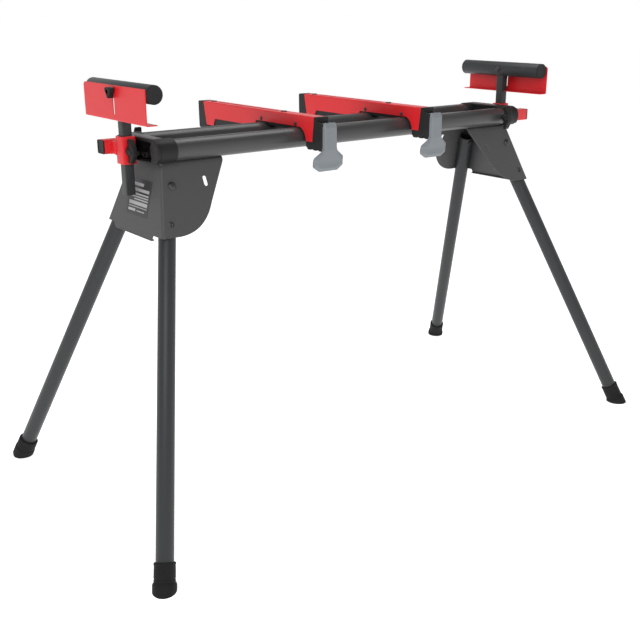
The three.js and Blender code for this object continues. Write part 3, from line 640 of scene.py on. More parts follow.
def leg_frame(side):
    """Pivot on the leg's axis, the way down the leg and the way out through the bracket side."""
    flip = np.array([1.0, -side, 1.0])
    pivot, foot = PIVOT * flip, FOOT * flip
    return pivot, (foot - pivot) / np.linalg.norm(foot - pivot), out_of_side(side)


def turned_about(vector, axis, degrees):
    """The vector turned about a unit axis: v cos t + (axis x v) sin t + axis (axis . v) (1 - cos t)."""
    t = math.radians(degrees)
    along = axis * (axis @ vector) * (1 - math.cos(t))
    return vector * math.cos(t) + np.cross(axis, vector) * math.sin(t) + along


def corner_centre(side, z):
    """A point at height z on the upright corner's centre line, one radius inside both faces."""
    web_out = np.array([-math.cos(TILT), 0, math.sin(TILT)])
    side_out = out_of_side(side)
    rhs = [web_out @ [END_TOP_X, 0, SIDE_TOP_Z] - CORNER_BEND,
           side_out @ [0, side * SIDE_TOP_Y, SIDE_TOP_Z] - CORNER_BEND, z]
    return np.linalg.solve(np.array([web_out, side_out, Z]), rhs)


def bracket_side(side):
    """One leaning side, its outline in X and in the distance down the sheet, with its three holes."""
    out = out_of_side(side)
    down = np.array([0, side * math.sin(LEAN), -math.cos(LEAN)])
    origin = np.array([0, side * SIDE_TOP_Y, SIDE_TOP_Z])

    def flat(x, z):
        return [x, (SIDE_TOP_Z - z) / math.cos(LEAN)]

    def corner(z):
        return flat(corner_centre(side, z - CORNER_BEND * math.sin(LEAN))[0], z)

    shoulder = BRACKET_TOP - TOP_BEND * (1 - math.sin(LEAN)) + 0.4
    hip = np.array([[-415, 659], [-444, 606], [-500, BRACKET_CORNER_Z]])
    k = np.linspace(0, 1, 15)[:, None]
    round_end = (1 - k) ** 2 * hip[0] + 2 * k * (1 - k) * hip[1] + k * k * hip[2]
    edge = [corner(shoulder), corner(BRACKET_CORNER_Z)]
    edge += [flat(*p) for p in round_end[::-1]]
    edge += [flat(BRACKET_INNER_X - 2, 731), flat(BRACKET_INNER_X, 735), flat(BRACKET_INNER_X, shoulder)]
    pivot, way, _ = leg_frame(side)

    def hole_at(degrees):
        spot = pivot + LOCK_ARM * turned_about(way, out, -side * degrees) - origin
        return spot[0], spot @ down

    fold = joints["front_left_leg_fold" if side < 0 else "back_left_leg_fold"]["range_deg"][1]
    (x0, d0), (x1, d1) = hole_at(fold - HALF_LOCK_SLOT), hole_at(fold + HALF_LOCK_SLOT)
    heading = math.degrees(math.atan2(d1 - d0, x1 - x0))
    holes = [arc(*hole_at(0), 6.3, 0, 360, 24)[:-1],
             arc(pivot[0], (pivot - origin) @ down, 4.3, 0, 360, 20)[:-1],
             np.concatenate([arc(x1, d1, 4.2, heading - 90, heading + 90, 10),
                             arc(x0, d0, 4.2, heading + 90, heading + 270, 10)])]
    # the sheet grows inwards from its outer face, so its first axis points the same way at both sides
    mirror = np.array([side, 1])
    outline = np.array(edge) * mirror
    return slab(outline, X * side, down, origin - SHEET * out, SHEET, 0.25, [h * mirror for h in holes])


def bracket_web():
    """The tilted end web with its tongue, the two notches beside it and the small return lip."""
    down = np.array([-math.sin(TILT), 0, -math.cos(TILT)])
    origin = np.array([END_TOP_X, 0, SIDE_TOP_Z])

    def flat(y, z):
        return [y, (SIDE_TOP_Z - z) / math.cos(TILT)]

    def corner(side, z):
        return flat(corner_centre(side, z - CORNER_BEND * math.sin(TILT))[1], z)

    low, mouth, brow = BRACKET_CORNER_Z - 11, BRACKET_CORNER_Z, SIDE_TOP_Z + 2
    edge = [corner(1, mouth), flat(92, mouth), flat(86, mouth - 6), flat(80, low), flat(-77, low),
            flat(-77, mouth - 1.5), flat(-82, mouth), corner(-1, mouth), corner(-1, brow),
            flat(-50, BRACKET_TOP - 1), flat(50, BRACKET_TOP - 1), corner(1, brow)]
    outline = rounded(edge, [0, 2, 2, 3, 2, 2, 3, 0, 0, 4, 4, 0], steps=4)
    sheet = slab(outline, Y, down, origin - SHEET * np.cross(Y, down), SHEET, 0.25)
    lip = carried([[0, 0], [2, 0], [2, 7], [0, 7]],
                  np.linspace([end_x(low) + 7, 64, low], [end_x(low) + 7, -76, low], 3), X * -1)
    return sheet, lip


def corner_bend(side):
    """The upright fold between the web and a side: the ring's arc swept along the corner's line.

    Each point of the arc slides along the line until it meets the level plane that ends the fold.
    """
    a, b = np.array([-math.cos(TILT), 0, math.sin(TILT)]), out_of_side(side)
    start = corner_centre(side, BRACKET_CORNER_Z)
    line = corner_centre(side, SIDE_TOP_Z) - start
    line /= line[2]
    angle = math.acos(float(a @ b))
    k = np.linspace(0, 1, 11)[:, None]
    fan = (np.sin((1 - k) * angle) * a + np.sin(k * angle) * b) / math.sin(angle)
    section = start + np.concatenate([fan * CORNER_BEND, (fan * (CORNER_BEND - SHEET))[::-1]])
    if side > 0:
        section = section[::-1]
    rings = [section + (z - section[:, 2:]) * line for z in (BRACKET_CORNER_Z, SIDE_TOP_Z + 2)]
    count = len(section)
    faces = ring_faces(2, count) + [tuple(range(count))[::-1], tuple(range(count, 2 * count))]
    return np.concatenate(rings), faces


def web_label():
    """A thin sticker on the web's outer face."""
    down = np.array([-math.sin(TILT), 0, -math.cos(TILT)])
    origin = np.array([END_TOP_X, 0, SIDE_TOP_Z]) + 0.05 * np.cross(Y, down)
    drop = 1 / math.cos(TILT)
    outline = square(89, 2, 0.5, (SIDE_TOP_Z - 666) * drop, 72 * drop)
    return slab(outline, Y, down, origin, 0.28, 0.08)


def leg_bracket():
    """Sides, web, corner folds and the top sheet with its long folds under the rails."""
    centre_z = BRACKET_TOP - TOP_BEND
    centre_y = side_y(centre_z) - TOP_BEND / math.cos(LEAN)
    parts = [bracket_side(-1), bracket_side(1), *bracket_web(), corner_bend(-1), corner_bend(1)]
    top = square(144, 1, -438, 0, 2 * centre_y + 1.0)
    parts.append(slab(top, X, Y, [0, 0, BRACKET_TOP - SHEET], SHEET, 0.3))
    for side in (-1, 1):
        first = np.array([-509, side * centre_y, centre_z])
        last = np.array([BRACKET_INNER_X, side * centre_y, centre_z])
        parts.append(bend(first, last, Z, out_of_side(side), TOP_BEND, SHEET))
    return together(*parts)


# ------------------------------------------------------------------ legs and feet
def on_floor(part, up):
    """Points below the floor slide up along the leg until they stand on it."""
    points = part[0].copy()
    below = np.minimum(points[:, 2], 0)
    points -= (below / up[2])[:, None] * up
    return points, part[1]


def leg(side):
    """The leg's tube, from inside its foot to a little above the pivot."""
    pivot, way, _ = leg_frame(side)
    length = LEG_REACH - LEG_STOP
    return lathe(pivot + way * length, -way, tube_ring(LEG_R, LEG_WALL, length + LEG_HEAD, 0.7), 72)


def boot(side):
    """A rubber cup with a rolled rim and two shallow rings, standing flat on the floor."""
    pivot, way, _ = leg_frame(side)
    profile = [[0, -15], [23.4, -15], [23.5, 11], [22.4, 14], [21.0, 15.5], [20.9, 20], [20.2, 21],
               [20.2, 22.5], [20.9, 23.5], [20.6, 47], [21.2, 48.5], [21.2, 51], [20, BOOT_TOP],
               [17.8, BOOT_TOP], [17.8, 15], [0, 15]]
    part = turned(pivot + way * LEG_REACH, -way, profile, 0.9, 80, 3)
    return on_floor(part, -way)


def levelling_foot(side):
    """A smooth round foot under a ring knurled with upright flutes."""
    pivot, way, _ = leg_frame(side)
    profile = [[0, -9], [15, -8.2], [21, -4.5], [23.3, 1], [23.3, 24.5], [22.2, 25.5], [22.2, 49.5],
               [20.6, BOOT_TOP], [17.9, BOOT_TOP], [17.9, 15], [0, 15]]
    radii = [0, 4, 5, 4, 0.8, 0.3, 0.8, 0.8, 0.5, 0, 0]

    def flutes(t, h):
        return -0.8 * np.abs(np.sin(14 * t)) * ((h > 26) & (h < 49.4))

    part = turned(pivot + way * LEG_REACH, -way, profile, radii, 168, 4, flutes)
    return on_floor(part, -way)


def pivot_pin(side):
    """A rivet: a formed head inside the leg and a low dome on the bracket's outer face."""
    pivot, _, out = leg_frame(side)
    inside = LEG_R + 3
    head = inside + LEG_R + SHEET + 2 * AIR
    profile = [[0, 0], [7, 0], [7, 2.6], [4, 2.6], [4, head], [8.5, head], [8.4, head + 1.4],
               [6.6, head + 3.2], [3.4, head + 4.1], [0, head + 4.4]]
    radii = [0, 0.8, 0.5, 0.2, 0.2, 0.4, 1.5, 2, 2, 0]
    return turned(pivot - out * inside, out, profile, radii, 40)


def lock_button(side):
    """A stepped button with a shallow dish in its tip."""
    pivot, way, out = leg_frame(side)
    tip = 17.4
    profile = [[0, -3], [5.2, -3], [5.2, 5], [7.2, 5], [7.2, 9], [5.2, 9], [5.2, tip], [4.2, tip],
               [3.9, tip - 0.5], [3.2, tip - 0.5], [2.9, tip], [0, tip]]
    return turned(pivot + way * LOCK_ARM, out, profile, 0.25, 40, 2)


# ------------------------------------------------------------------ extension arms
def extension_arm():
    """Square tube, square collar and the short tube welded between them."""
    tube = slab(square(TUBE, 3), Y, Z, [TUBE_END, RAIL_Y, RAIL_Z], TUBE_LENGTH, 0.5,
                [square(TUBE - 2 * TUBE_WALL, 1.8)])
    low = RAIL_Z - 29.5
    collar = slab(square(COLLAR, 2.5), X, Y, [COLLAR_X, POST_Y, low], COLLAR_HEIGHT, 0.8,
                  [square(POST + 1, 1.6)])
    near, far = POST_Y + 13.5, RAIL_Y - TUBE / 2 + 0.6
    bridge = slab(square(27, 2, COLLAR_BRIDGE_X, RAIL_Z, 26), X, Z, [0, far, 0], far - near, 0.3)
    loop = square(27.2, 2.4, COLLAR_BRIDGE_X, RAIL_Z, 26.2)
    beads = []
    for y in (near + 1.6, far - 0.7):
        path = np.stack([loop[:, 0], np.full(len(loop), y), loop[:, 1]], -1)
        beads.append(weld_bead(np.concatenate([path, path[:1]]), 1.3))
    return together(tube, collar, bridge, *beads)


def weld_bead(path, radius):
    """A bead of overlapping drops: a circle carried along a path, its radius rippling with length."""
    step = np.linalg.norm(np.diff(path, axis=0), axis=1)
    length = np.r_[0, np.cumsum(step)]
    at = np.arange(0, length[-1], 0.7)
    line = np.stack([np.interp(at, length, path[:, k]) for k in range(3)], -1)
    tangent = np.gradient(line, axis=0)
    tangent /= np.linalg.norm(tangent, axis=1, keepdims=True)
    s = np.cross(Y, tangent)
    s /= np.maximum(np.linalg.norm(s, axis=1, keepdims=True), 1e-9)
    t = np.linspace(0, TAU, 10, endpoint=False)
    ripple = radius * (1 + 0.14 * np.sin(at * TAU / 2.8))
    circle = np.cos(t)[None, :, None] * s[:, None] + np.sin(t)[None, :, None] * Y
    rings = line[:, None] + ripple[:, None, None] * circle
    return rings.reshape(-1, 3), ring_faces(len(at), len(t), closed=True)


def tube_plug():
    """The plug in the tube's outer end: a flanged rim, a sunk floor and a spigot inside the tube."""
    face = TUBE_END - AIR - 3
    rim = slab(square(TUBE, 3), Y, Z, [face, RAIL_Y, RAIL_Z], 3, 0.9, [square(TUBE - 7, 2)])
    floor = slab(square(TUBE - 6.4, 2), Y, Z, [face + 1, RAIL_Y, RAIL_Z], 2, 0.2)
    spigot = slab(square(TUBE - 4.6, 1.6), Y, Z, [face + 2.5, RAIL_Y, RAIL_Z], 12, 0.5)
    return together(rim, floor, spigot)


def wing(centre_x, centre_z, half, width, near, far):
    """An upright wing grip: tall and thin at its root, with a boss that stands out in the middle."""
    d = far - near
    right = [[near, half], [near + 0.38 * d, half], [near + 0.78 * d, 0.56 * half], [far, 0.3 * half]]
    outline = np.array(right + [[y, -z] for y, z in right[::-1]])
    outline = rounded(outline, [1.5, 3, 8, 3.5, 3.5, 8, 3, 1.5], steps=5) + [0, centre_z]
    return slab(outline, Y, Z, [centre_x - width / 2, 0, 0], width, 2.8, steps=5)


def extension_knob():
    """A screw that ends on the extension tube, its hub and its wing."""
    start = RAIL_Y + TUBE / 2 + AIR
    sleeve = RAIL_Y + CAP_R - AIR
    reach = sleeve + 3 - start
    hub = [[0, reach - 2], [11, reach - 2], [11, reach + 4], [9, reach + 17], [0, reach + 17]]
    centre = [RAIL_KNOB_X, start, RAIL_Z]
    return together(lathe(centre, Y, disc(4, reach, 0.3), 24),
                    turned(centre, Y, hub, [0, 0.8, 1.5, 2.5, 0], 48),
                    wing(RAIL_KNOB_X, RAIL_Z, 29, 15, sleeve + 3.5, sleeve + 21))


def post_knob():
    """A screw that ends on the post, its hub and its wing."""
    z = RAIL_Z - 3
    front = POST_Y - COLLAR / 2
    start = POST_Y - POST / 2 - AIR
    reach = start - front + AIR
    hub = [[0, reach], [10, reach], [10, reach + 5], [8, reach + 16], [0, reach + 16]]
    centre = [COLLAR_X, start, z]
    return together(lathe(centre, -Y, disc(4, reach + 3, 0.3), 24),
                    turned(centre, -Y, hub, [0, 0.8, 1.5, 2, 0], 48),
                    wing(COLLAR_X, z, 24, 12, front - 2, front - 22))


# ------------------------------------------------------------------ work supports
def post():
    """The square tube that slides in the collar."""
    low, high = box_mm("left_post")
    return slab(square(POST, 1.5), X, Y, [COLLAR_X, POST_Y, low[2]], high[2] - low[2], 0.5,
                [square(POST - 4, 0.8)])


def support_bar():
    """The round tube that carries the work."""
    low, high = box_mm("left_support_bar")
    return lathe([COLLAR_X, low[1], BAR_Z], Y, tube_ring(BAR_R, 2, high[1] - low[1], 0.4), 96)


def bar_cap(side):
    """A flanged cap with a raised rim, pushed into the bar's end."""
    low, high = box_mm("left_support_bar")
    at = high[1] + AIR if side > 0 else low[1] - AIR
    plug, rim = BAR_R - 2.3, 3
    profile = [[0, -8], [plug, -8], [plug, 0], [BAR_R, 0], [BAR_R, rim], [BAR_R - 2.2, rim],
               [BAR_R - 2.8, rim - 0.6], [0, rim - 0.6]]
    return turned([COLLAR_X, at, BAR_Z], Y * side, profile, [0, 0.8, 0.2, 0.3, 1.0, 0.3, 0.3, 0], 96)


def bar_bolt():
    """A round-headed bolt that holds the bar to its post."""
    depth = 8
    seat = BAR_R + AIR - depth
    profile = [[0, 0], [3, 0], [3, seat], [6.5, seat], [6.2, seat + 2.4], [3.5, seat + 3.8], [0, seat + 4]]
    return turned([COLLAR_X + depth, POST_Y, BAR_Z], X, profile, [0, 0.3, 0.1, 0.4, 1.5, 1.5, 0], 36)


def stop_plate():
    """The upright face with its slot and clipped corner, the fold and the notched lip below it."""
    (x, y0, z0), (_, y1, z1) = box_mm("left_stop_plate")
    overlap = 0.6
    edge = [[y0, z0 + FOLD - overlap], [y1, z0 + FOLD - overlap], [y1, z1 - 4], [y1 - 6, z1], [y0, z1]]
    slot = np.concatenate([arc(POST_Y, 877, 3, 0, 180, 12), arc(POST_Y, 835, 3, 180, 360, 12)])
    face = slab(rounded(edge, [0, 0, 1.5, 1.5, 2.5]), Y, Z, [x, 0, 0], SHEET, 0.4, [slot])
    # the lip's notch clears the post
    x0, notch, x1 = x + FOLD - overlap, x + 10, x + 24
    half = POST / 2 + 1.2
    lip = [[x0, y0], [x1, y0], [x1, POST_Y - half], [notch, POST_Y - half], [notch, POST_Y + half],
           [x1, POST_Y + half], [x1, y1], [x0, y1]]
    flat = slab(rounded(lip, [0, 2, 1, 1.5, 1.5, 1, 2, 0]), X, Y, [0, 0, z0], SHEET, 0.4)
    crease = bend([x + FOLD, y0 + 0.2, z0 + FOLD], [x + FOLD, y1 - 0.2, z0 + FOLD], -X, -Z, FOLD, SHEET)
    return together(face, flat, crease)


def stop_knob():
    """Three lobes: the radius runs as 0.78 - 0.22 cos 3t of the largest, so one lobe hangs down."""
    x0 = COLLAR_X - BAR_R + 2.8
    z = BAR_Z - 1
    t = np.linspace(0, TAU, 90, endpoint=False)
    r = 12.5 * (0.78 - 0.22 * np.cos(3 * t))
    lobes = np.stack([r * np.sin(t) + POST_Y, r * np.cos(t) + z], -1)
    body = slab(lobes, Y, Z, [x0 - 18.2, 0, 0], 12, 2.4, steps=5)
    cap = lathe([x0 - 17, POST_Y, z], -X, disc(5.2, 1.2, 0.6), 32)
    return together(body, lathe([x0, POST_Y, z], -X, disc(2.5, 8, 0.2), 20), cap)


# ------------------------------------------------------------------ saw arms
def channel_side_outline():
    """Side of the red channel, in Y and Z, with the arc that clears the front rail."""
    arch = arc(-RAIL_Y - 1, RAIL_Z - 6.5, RAIL_R + 11, 176.5, 112.7, 14)
    tail, heel, crease = RAIL_Z + 10, RAIL_Z - 7.5, ARM_TOP - 2.4
    ends = [[ARM_FRONT + AIR, crease], [ARM_FRONT + 6.5, RAIL_Z - 4.5]]
    rest = [[RAIL_Y + RAIL_R + 3.5, RAIL_Z + RAIL_R + 2], [RAIL_Y + RAIL_R + 7.5, tail],
            [ARM_BACK - 52, tail], [ARM_BACK - 41, heel], [ARM_BACK - 12, heel], [ARM_BACK - 0.5, crease]]
    corners = np.array(ends + arch.tolist() + rest)
    radii = [0, 2] + [0] * len(arch) + [5, 4, 4, 5, 3, 0]
    return rounded(corners, radii, steps=4)


def arm_channel():
    """Two sides and a top of folded sheet, with the bolt holes and the long slot between them."""
    outline = channel_side_outline()
    screws = [arc(y, SCREW_Z, 2.4, 0, 360, 16)[:-1] for y in SIDE_SCREWS]
    parts = [slab(outline, Y, Z, [x, 0, 0], SHEET, 0.3, screws) for x in (-ARM_HALF, ARM_HALF - SHEET)]
    middle, length = (ARM_FRONT + ARM_BACK) / 2, ARM_BACK - ARM_FRONT
    top = square(2 * (ARM_HALF - FOLD) + 0.2, 0.01, 0, middle, length)
    near, far = BOLTS[0] + 24, BOLTS[1] - 24
    slot = np.concatenate([arc(0, far, BOLT_SLOT_R, 0, 180, 10), arc(0, near, BOLT_SLOT_R, 180, 360, 10)])
    holes = [arc(0, y, 7.3, 0, 360, 28)[:-1] for y in BOLTS]
    parts.append(slab(top, X, Y, [0, 0, ARM_TOP - SHEET], SHEET, 0.3, [slot] + holes))
    for side in (-1, 1):
        x = side * (ARM_HALF - FOLD)
        parts.append(bend([x, ARM_FRONT + 0.3, ARM_TOP - FOLD], [x, ARM_BACK - 0.4, ARM_TOP - FOLD],
                          Z, [side, 0, 0], FOLD, SHEET, 6))
    return together(*parts)


def arm_saddle():
    """The black liner inside the channel: its outline has a round bed over each rail."""
    bed = RAIL_R + 0.4
    low = RAIL_Z - 6.5
    front = arc(-RAIL_Y, RAIL_Z, bed, 191, 48, 20)
    back = arc(RAIL_Y, RAIL_Z, bed, 132, -17.3, 20)
    start, end, roof = -103.4, ARM_BACK - 44, 797
    outline = np.array([[start, roof], [start, RAIL_Z - 4.2]] + front.tolist() + back.tolist()
                       + [[end, low], [end, roof]])
    return slab(outline, Y, Z, [-LINER_HALF, 0, 0], 2 * LINER_HALF, 0.4)


def arm_rear_end():
    """The slanted black end, with the foot that reaches under the channel's heel."""
    (_, _, low), (_, back, _) = box_mm("left_arm_rear_end")
    heel = ARM_BACK - 12
    step = RAIL_Z - 7.8
    outline = rounded([[heel + AIR, step], [ARM_BACK + AIR, ARM_TOP], [back, ARM_TOP], [back - 1, low],
                       [heel - 5, low], [heel - 5, step]], [0.3, 0.6, 4, 5, 1.5, 0.6])
    shell = slab(outline, Y, Z, [-ARM_HALF, 0, 0], 2 * ARM_HALF, 1.3)
    plug = slab(square(20, 1, ARM_BACK - 2, 788, 40), Y, Z, [-LINER_HALF, 0, 0], 2 * LINER_HALF, 0.4)
    return together(shell, plug)


def front_casing():
    """Two cheeks and a middle block with a well for the hub; blunt teeth run along the bottom."""
    front, back = CASING_LOW[1], CASING_HIGH[1]
    low = CASING_LOW[2]
    py, pz = LEVER_PIN
    pitch = (back - front) / 3
    bites = []
    for i in range(3):
        y = front + i * pitch
        bites += [[y + 0.4, low + 6], [y + 1.6, low], [y + pitch - 4.4, low], [y + pitch - 3.2, low + 6]]
    teeth = rounded(bites, [0.6, 4.5, 4.5, 0.6] * 3, closed=False, steps=5)
    sill = RAIL_Z - 4.8
    rear = [[back, low + 4], [back, sill], [ARM_FRONT + 6.2, sill], [ARM_FRONT - AIR, ARM_TOP]]
    well = py + 12
    hub_room = arc(py, pz, HUB_R + AIR, 77, 180, 12)
    cheek = np.concatenate([teeth, rear, [[well, ARM_TOP], [well, pz + 11]], hub_room, [[front, low + 14]]])
    middle = np.concatenate([teeth, rear, [[well, ARM_TOP], [well, pz - 20], [front + 0.4, pz - 20]]])
    parts = [slab(cheek, Y, Z, [x, 0, 0], CHEEK, 0.8) for x in (-ARM_HALF, ARM_HALF - CHEEK)]
    inner = ARM_HALF - CHEEK + 0.1
    parts.append(slab(middle, Y, Z, [-inner, 0, 0], 2 * inner, 0.1))
    tongue = square(18, 1, ARM_FRONT + 7, 788, 42)
    parts.append(slab(tongue, Y, Z, [-LINER_HALF, 0, 0], 2 * LINER_HALF, 0.4))
    return together(*parts)


def lever():
    """A paddle on a shank: two height fields over one outline, joined round their edge.

    Columns share out the width at each height. The front face bulges along the shank, and near the
    outline it falls away as a bevel, by the distance to the nearest edge.
    """
    py, pz = LEVER_PIN
    low, high = LEVER_LOW[2], LEVER_HIGH[2]
    face = CASING_LOW[1] - 0.4
    front = LEVER_LOW[1]
    right = np.array([[high, 13.5], [high - 1.2, 15.3], [high - 4, 16.2], [high - 24, SHANK_HALF],
                      [low + 52, SHANK_HALF], [low + 46, 17.4], [low + 42, 20.5], [low + 30, 37.2],
                      [low + 27, 38.8], [low + 11.5, PADDLE_HALF], [low + 9, 37.4], [low + 1.4, 26],
                      [low, 23.2]])[::-1]
    z = np.unique(np.r_[np.linspace(low, high, 116), right[:, 0]])
    half = np.interp(z, right[:, 0], right[:, 1])
    u = np.sin(np.linspace(-1, 1, 45) * math.pi / 2)
    x = half[:, None] * u
    zz = z[:, None] * np.ones_like(x)
    edge_line = right[:, ::-1]
    loop = np.concatenate([edge_line, (edge_line * [-1, 1])[::-1]])
    after = np.roll(loop, -1, 0)
    run = after - loop
    at = np.stack([x, zz], -1)[:, :, None, :] - loop
    share = np.clip(np.sum(at * run, -1) / np.sum(run * run, -1), 0, 1)
    edge = np.linalg.norm(at - share[..., None] * run, axis=-1).min(-1)
    wide = np.interp(z, [low, low + 30, low + 46], [1, 1, 0])[:, None]
    bevel = (2.2 + 2.6 * wide) * np.clip(1 - edge / (3.0 + 4.0 * wide), 0, 1) ** 1.15
    # short ribs run square to both shoulders
    slope = (np.abs(x) - 28) * 0.62 + (zz - low - 37) * 0.78
    along = np.abs(x) * 0.78 - (zz - low) * 0.62
    ribs = 0.5 * wide * np.clip(1 - np.abs(slope) / 6.5, 0, 1) * np.sin(along * TAU / 3.4) ** 2
    crown = np.interp(z, [low, low + 20.5, low + 46, pz, high], [5.0, 4.5, 0.0, 0.0, 4.8])[:, None]
    dish = 1.1 * wide * np.exp(-((x / 26) ** 2) - ((zz - low - 17) / 9) ** 2)
    rear = np.interp(z, [low, low + 20.5, low + 39, pz + 1, high], [5.5, 5.0, 0.0, 0.0, -3.0])[:, None]
    ahead = front + crown + bevel - ribs * (edge > 1.5) + dish
    behind = face + rear - 0.8 * np.clip(1 - edge / 1.6, 0, 1)
    rings = np.concatenate([np.stack([x, ahead, zz], -1), np.stack([x, behind, zz], -1)[:, ::-1]], 1)
    hub = lathe([-HUB_HALF, py, pz], X, tube_ring(HUB_R, 4.7, 2 * HUB_HALF, 0.4), 48)
    neck = slab(square(12, 0.6, (face + py) / 2, pz - 5, 16), Y, Z, [-HUB_HALF, 0, 0], 2 * HUB_HALF, 0.5)
    return together(loft(rings), hub, neck)


def lever_pin():
    """The pin across both cheeks that the lever swings on."""
    half = ARM_HALF - 0.5
    profile = [[0, 0], [3, 0], [3, 2 * half], [0, 2 * half]]
    return turned([-half, *LEVER_PIN], X, profile, [0, 0.5, 0.5, 0], 32)


def saw_bolt(y):
    """A low round head with a hollow in it, and its shank."""
    low = ARM_TOP - 13
    head = ARM_TOP - 3.8
    crown = ARM_TOP + 2
    profile = [[0, low], [3, low], [3, head], [7, head], [7, ARM_TOP + 1.4], [5.8, crown],
               [3.4, crown], [3.2, ARM_TOP], [0, ARM_TOP]]
    return turned([0, y, 0], Z, profile, [0, 0.3, 0.1, 0.3, 0.8, 0.6, 0.2, 0.2, 0], 48)


def side_screw(y, side):
    """A pan head on the outside of the channel."""
    profile = [[0, -3], [2.2, -3], [2.2, 0.1], [4.4, 0.1], [4.2, 1.6], [2.6, 2.4], [1.2, 2.4],
               [1.0, 1.7], [0, 1.7]]
    radii = [0, 0, 0, 0.2, 0.8, 0.4, 0.1, 0.1, 0]
    return turned([side * ARM_HALF, y, SCREW_Z], X * side, profile, radii, 32)


# ------------------------------------------------------------------ assembly
piece("rails", beam(), "frame", "rail_paint", ["beam"])


def fit_end(end, turn):
    """Every piece of one end; turn is 1 for the left end and -1 for the turned right end."""
    slide, stand, stop = f"{end}_extension", f"{end}_post", f"{end}_stop"

    def put(name, part, body, slot, node=None, material=None):
        placed = part if turn > 0 else half_turn(part)
        return piece(name, placed, body, slot, [node] if node else [], material)

    put(f"{end}_cap", end_cap(), "frame", "black_plastic", f"{end}_end_cap")
    put(f"{end}_cap_strip", cap_strip(), "frame", "black_plastic", material=RIBBED_PLASTIC)
    put(f"{end}_bracket", leg_bracket(), "frame", "bracket_paint", f"{end}_leg_bracket")
    put(f"{slide}_weldment", extension_arm(), slide, "red_paint", f"{slide}_arm")
    put(f"{end}_plug", tube_plug(), slide, "black_plastic", f"{end}_tube_plug")
    put(f"{end}_rail_wing_knob", extension_knob(), f"{slide}_knob", "black_plastic", f"{slide}_knob")
    put(f"{end}_collar_wing_knob", post_knob(), f"{stand}_knob", "black_plastic", f"{stand}_knob")
    put(f"{end}_square_post", post(), stand, "leg_paint", stand)
    put(f"{end}_bar", support_bar(), stand, "leg_paint", f"{end}_support_bar")
    put(f"{end}_bar_screw", bar_bolt(), stand, "dark_steel", f"{end}_bar_bolt")
    put(stop, stop_plate(), f"{stop}_plate", "red_paint", f"{stop}_plate")
    put(f"{end}_lobed_knob", stop_knob(), f"{stop}_knob", "black_plastic", f"{stop}_knob")
    for side in (-1, 1):
        word = "front" if (side < 0) == (turn > 0) else "back"
        put(f"{end}_bar_end_{word}", bar_cap(side), stand, "black_plastic", f"{end}_bar_cap_{word}")
        fit_leg(f"{word}_{end}", side, put)


def fit_leg(place, side, put):
    """One leg with its rivet, its lock button and its foot."""
    button = f"{place}_lock_button"
    put(f"{place}_tube", leg(side), f"{place}_leg", "leg_paint", f"{place}_leg")
    put(f"{place}_pin", pivot_pin(side), "frame", "dark_steel", f"{place}_pivot_pin")
    put(f"{place}_button", lock_button(side), button, "dark_steel", button, ZINC)
    if place == "back_left":
        put("knurled_foot", levelling_foot(side), "levelling_foot", "rubber", "levelling_foot")
    else:
        put(f"{place}_rubber_boot", boot(side), f"{place}_leg", "rubber", f"{place}_boot")


def fit_arm(end):
    """One saw arm; its pieces are drawn round x = 0 and moved to the arm's place."""
    x = np.mean([box_mm(f"{end}_arm_channel")[k][0] for k in (0, 1)])
    body = f"{end}_arm"

    def put(name, part, slot, node=None, rides=body):
        return piece(name, moved(part, [x, 0, 0]), rides, slot, [node] if node else [])

    put(f"{end}_red_channel", arm_channel(), "red_paint", f"{end}_arm_channel")
    put(f"{end}_saddle", arm_saddle(), "black_plastic", f"{end}_arm_saddle")
    put(f"{end}_rear_end", arm_rear_end(), "black_plastic", f"{end}_arm_rear_end")
    put(f"{end}_casing", front_casing(), "black_plastic", f"{end}_front_casing")
    put(f"{end}_clamp_lever", lever(), "grey_plastic", f"{end}_lever", f"{end}_lever")
    put(f"{end}_hinge_pin", lever_pin(), "dark_steel", f"{end}_lever_pin")
    put(f"{end}_bolt_front", saw_bolt(BOLTS[0]), "dark_steel", f"{end}_saw_bolt_front")
    put(f"{end}_bolt_back", saw_bolt(BOLTS[1]), "dark_steel", f"{end}_saw_bolt_back")
    for side, word in ((-1, "outer"), (1, "inner")):
        for y, spot in zip(SIDE_SCREWS, ("front", "rear")):
            put(f"{end}_{word}_screw_{spot}", side_screw(y, side), "dark_steel")


fit_end("left", 1)
fit_end("right", -1)
fit_arm("left")
fit_arm("right")
piece("left_web_label", web_label(), "frame", "black_plastic", material=LABEL)


# ------------------------------------------------------------------ studio
def plain(name, colour, roughness, glow):
    """A flat matt surface that also gives off a little light of its own."""
    f = Finish(name)
    tone = f.noise(2.0, 2.0)
    colour = f.blend(tone, colour, tuple(c * 0.98 for c in colour[:3]) + (1,))
    return f.surface(colour, roughness, Emission_Color=(1, 1, 1, 1), Emission_Strength=glow)


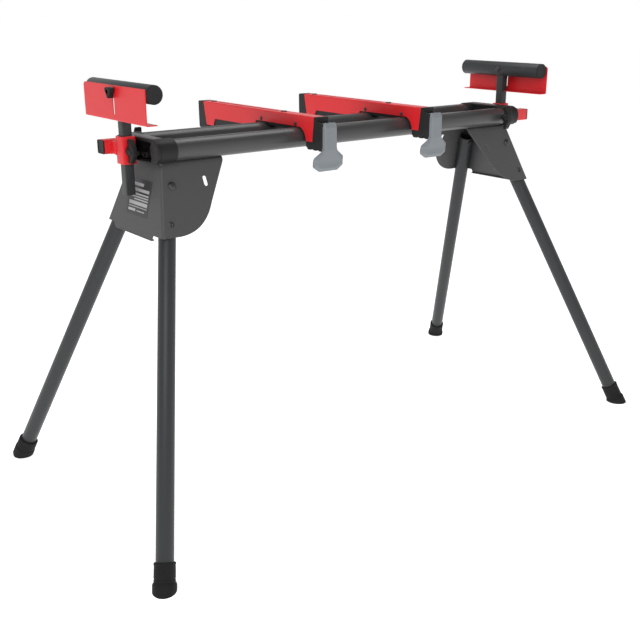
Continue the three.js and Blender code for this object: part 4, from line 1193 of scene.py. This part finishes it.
def studio():
    """A pale floor under a sky that is white all round and dim overhead."""
    floor = bpy.data.meshes.new("floor")
    half = 90.0
    corners = [(-half, -half, 0), (half, -half, 0), (half, half, 0), (-half, half, 0)]
    floor.from_pydata(corners, [], [(0, 1, 2, 3)])
    obj = bpy.data.objects.new("floor", floor)
    bpy.context.scene.collection.objects.link(obj)
    obj.data.materials.append(plain("pale_floor", (0.8, 0.8, 0.8, 1), 0.9, 0.76))
    world = bpy.data.worlds.new("studio")
    bpy.context.scene.world = world
    world.use_nodes = True
    sky = Graph(world.node_tree)
    place = sky.node("ShaderNodeTexCoord", {}, {}, "Generated")
    height = sky.node("ShaderNodeSeparateXYZ", {}, {0: place}, 2)
    stops = [(0.12, (1, 1, 1, 1)), (0.7, (0.1, 0.1, 0.105, 1))]
    colour = sky.node("ShaderNodeValToRGB", {"stops": stops}, {0: height})
    background = sky.node("ShaderNodeBackground", {}, {"Color": colour, "Strength": 1.0})
    sky.node("ShaderNodeOutputWorld", {}, {"Surface": background})
    bpy.context.scene.view_settings.view_transform = "Standard"


def area_light(name, place, target, size, power):
    """A rectangular lamp that faces its target."""
    light = bpy.data.lights.new(name, "AREA")
    light.energy = power
    light.shape = "RECTANGLE"
    light.size, light.size_y = size
    obj = bpy.data.objects.new(name, light)
    obj.location = place
    obj.rotation_euler = (Vector(target) - Vector(place)).to_track_quat("-Z", "Y").to_euler()
    bpy.context.scene.collection.objects.link(obj)


def camera():
    """A camera at the stand's left front corner, a little above the rails."""
    data = bpy.data.cameras.new("camera")
    data.sensor_width = 36.0
    data.lens = 51.66
    obj = bpy.data.objects.new("camera", data)
    obj.location = (-1.382, -1.680, 1.033)
    obj.rotation_euler = (math.radians(71.16), 0, math.radians(-38.2))
    bpy.context.scene.collection.objects.link(obj)
    bpy.context.scene.camera = obj


studio()
# places in metres, sizes in metres and powers in watts
area_light("key", (-2.6, -2.4, 3.0), (0, 0, 0.7), (2.4, 1.6), 62)
area_light("top", (0.2, 0.6, 3.4), (0, 0, 0.6), (3.0, 2.0), 60)
camera()
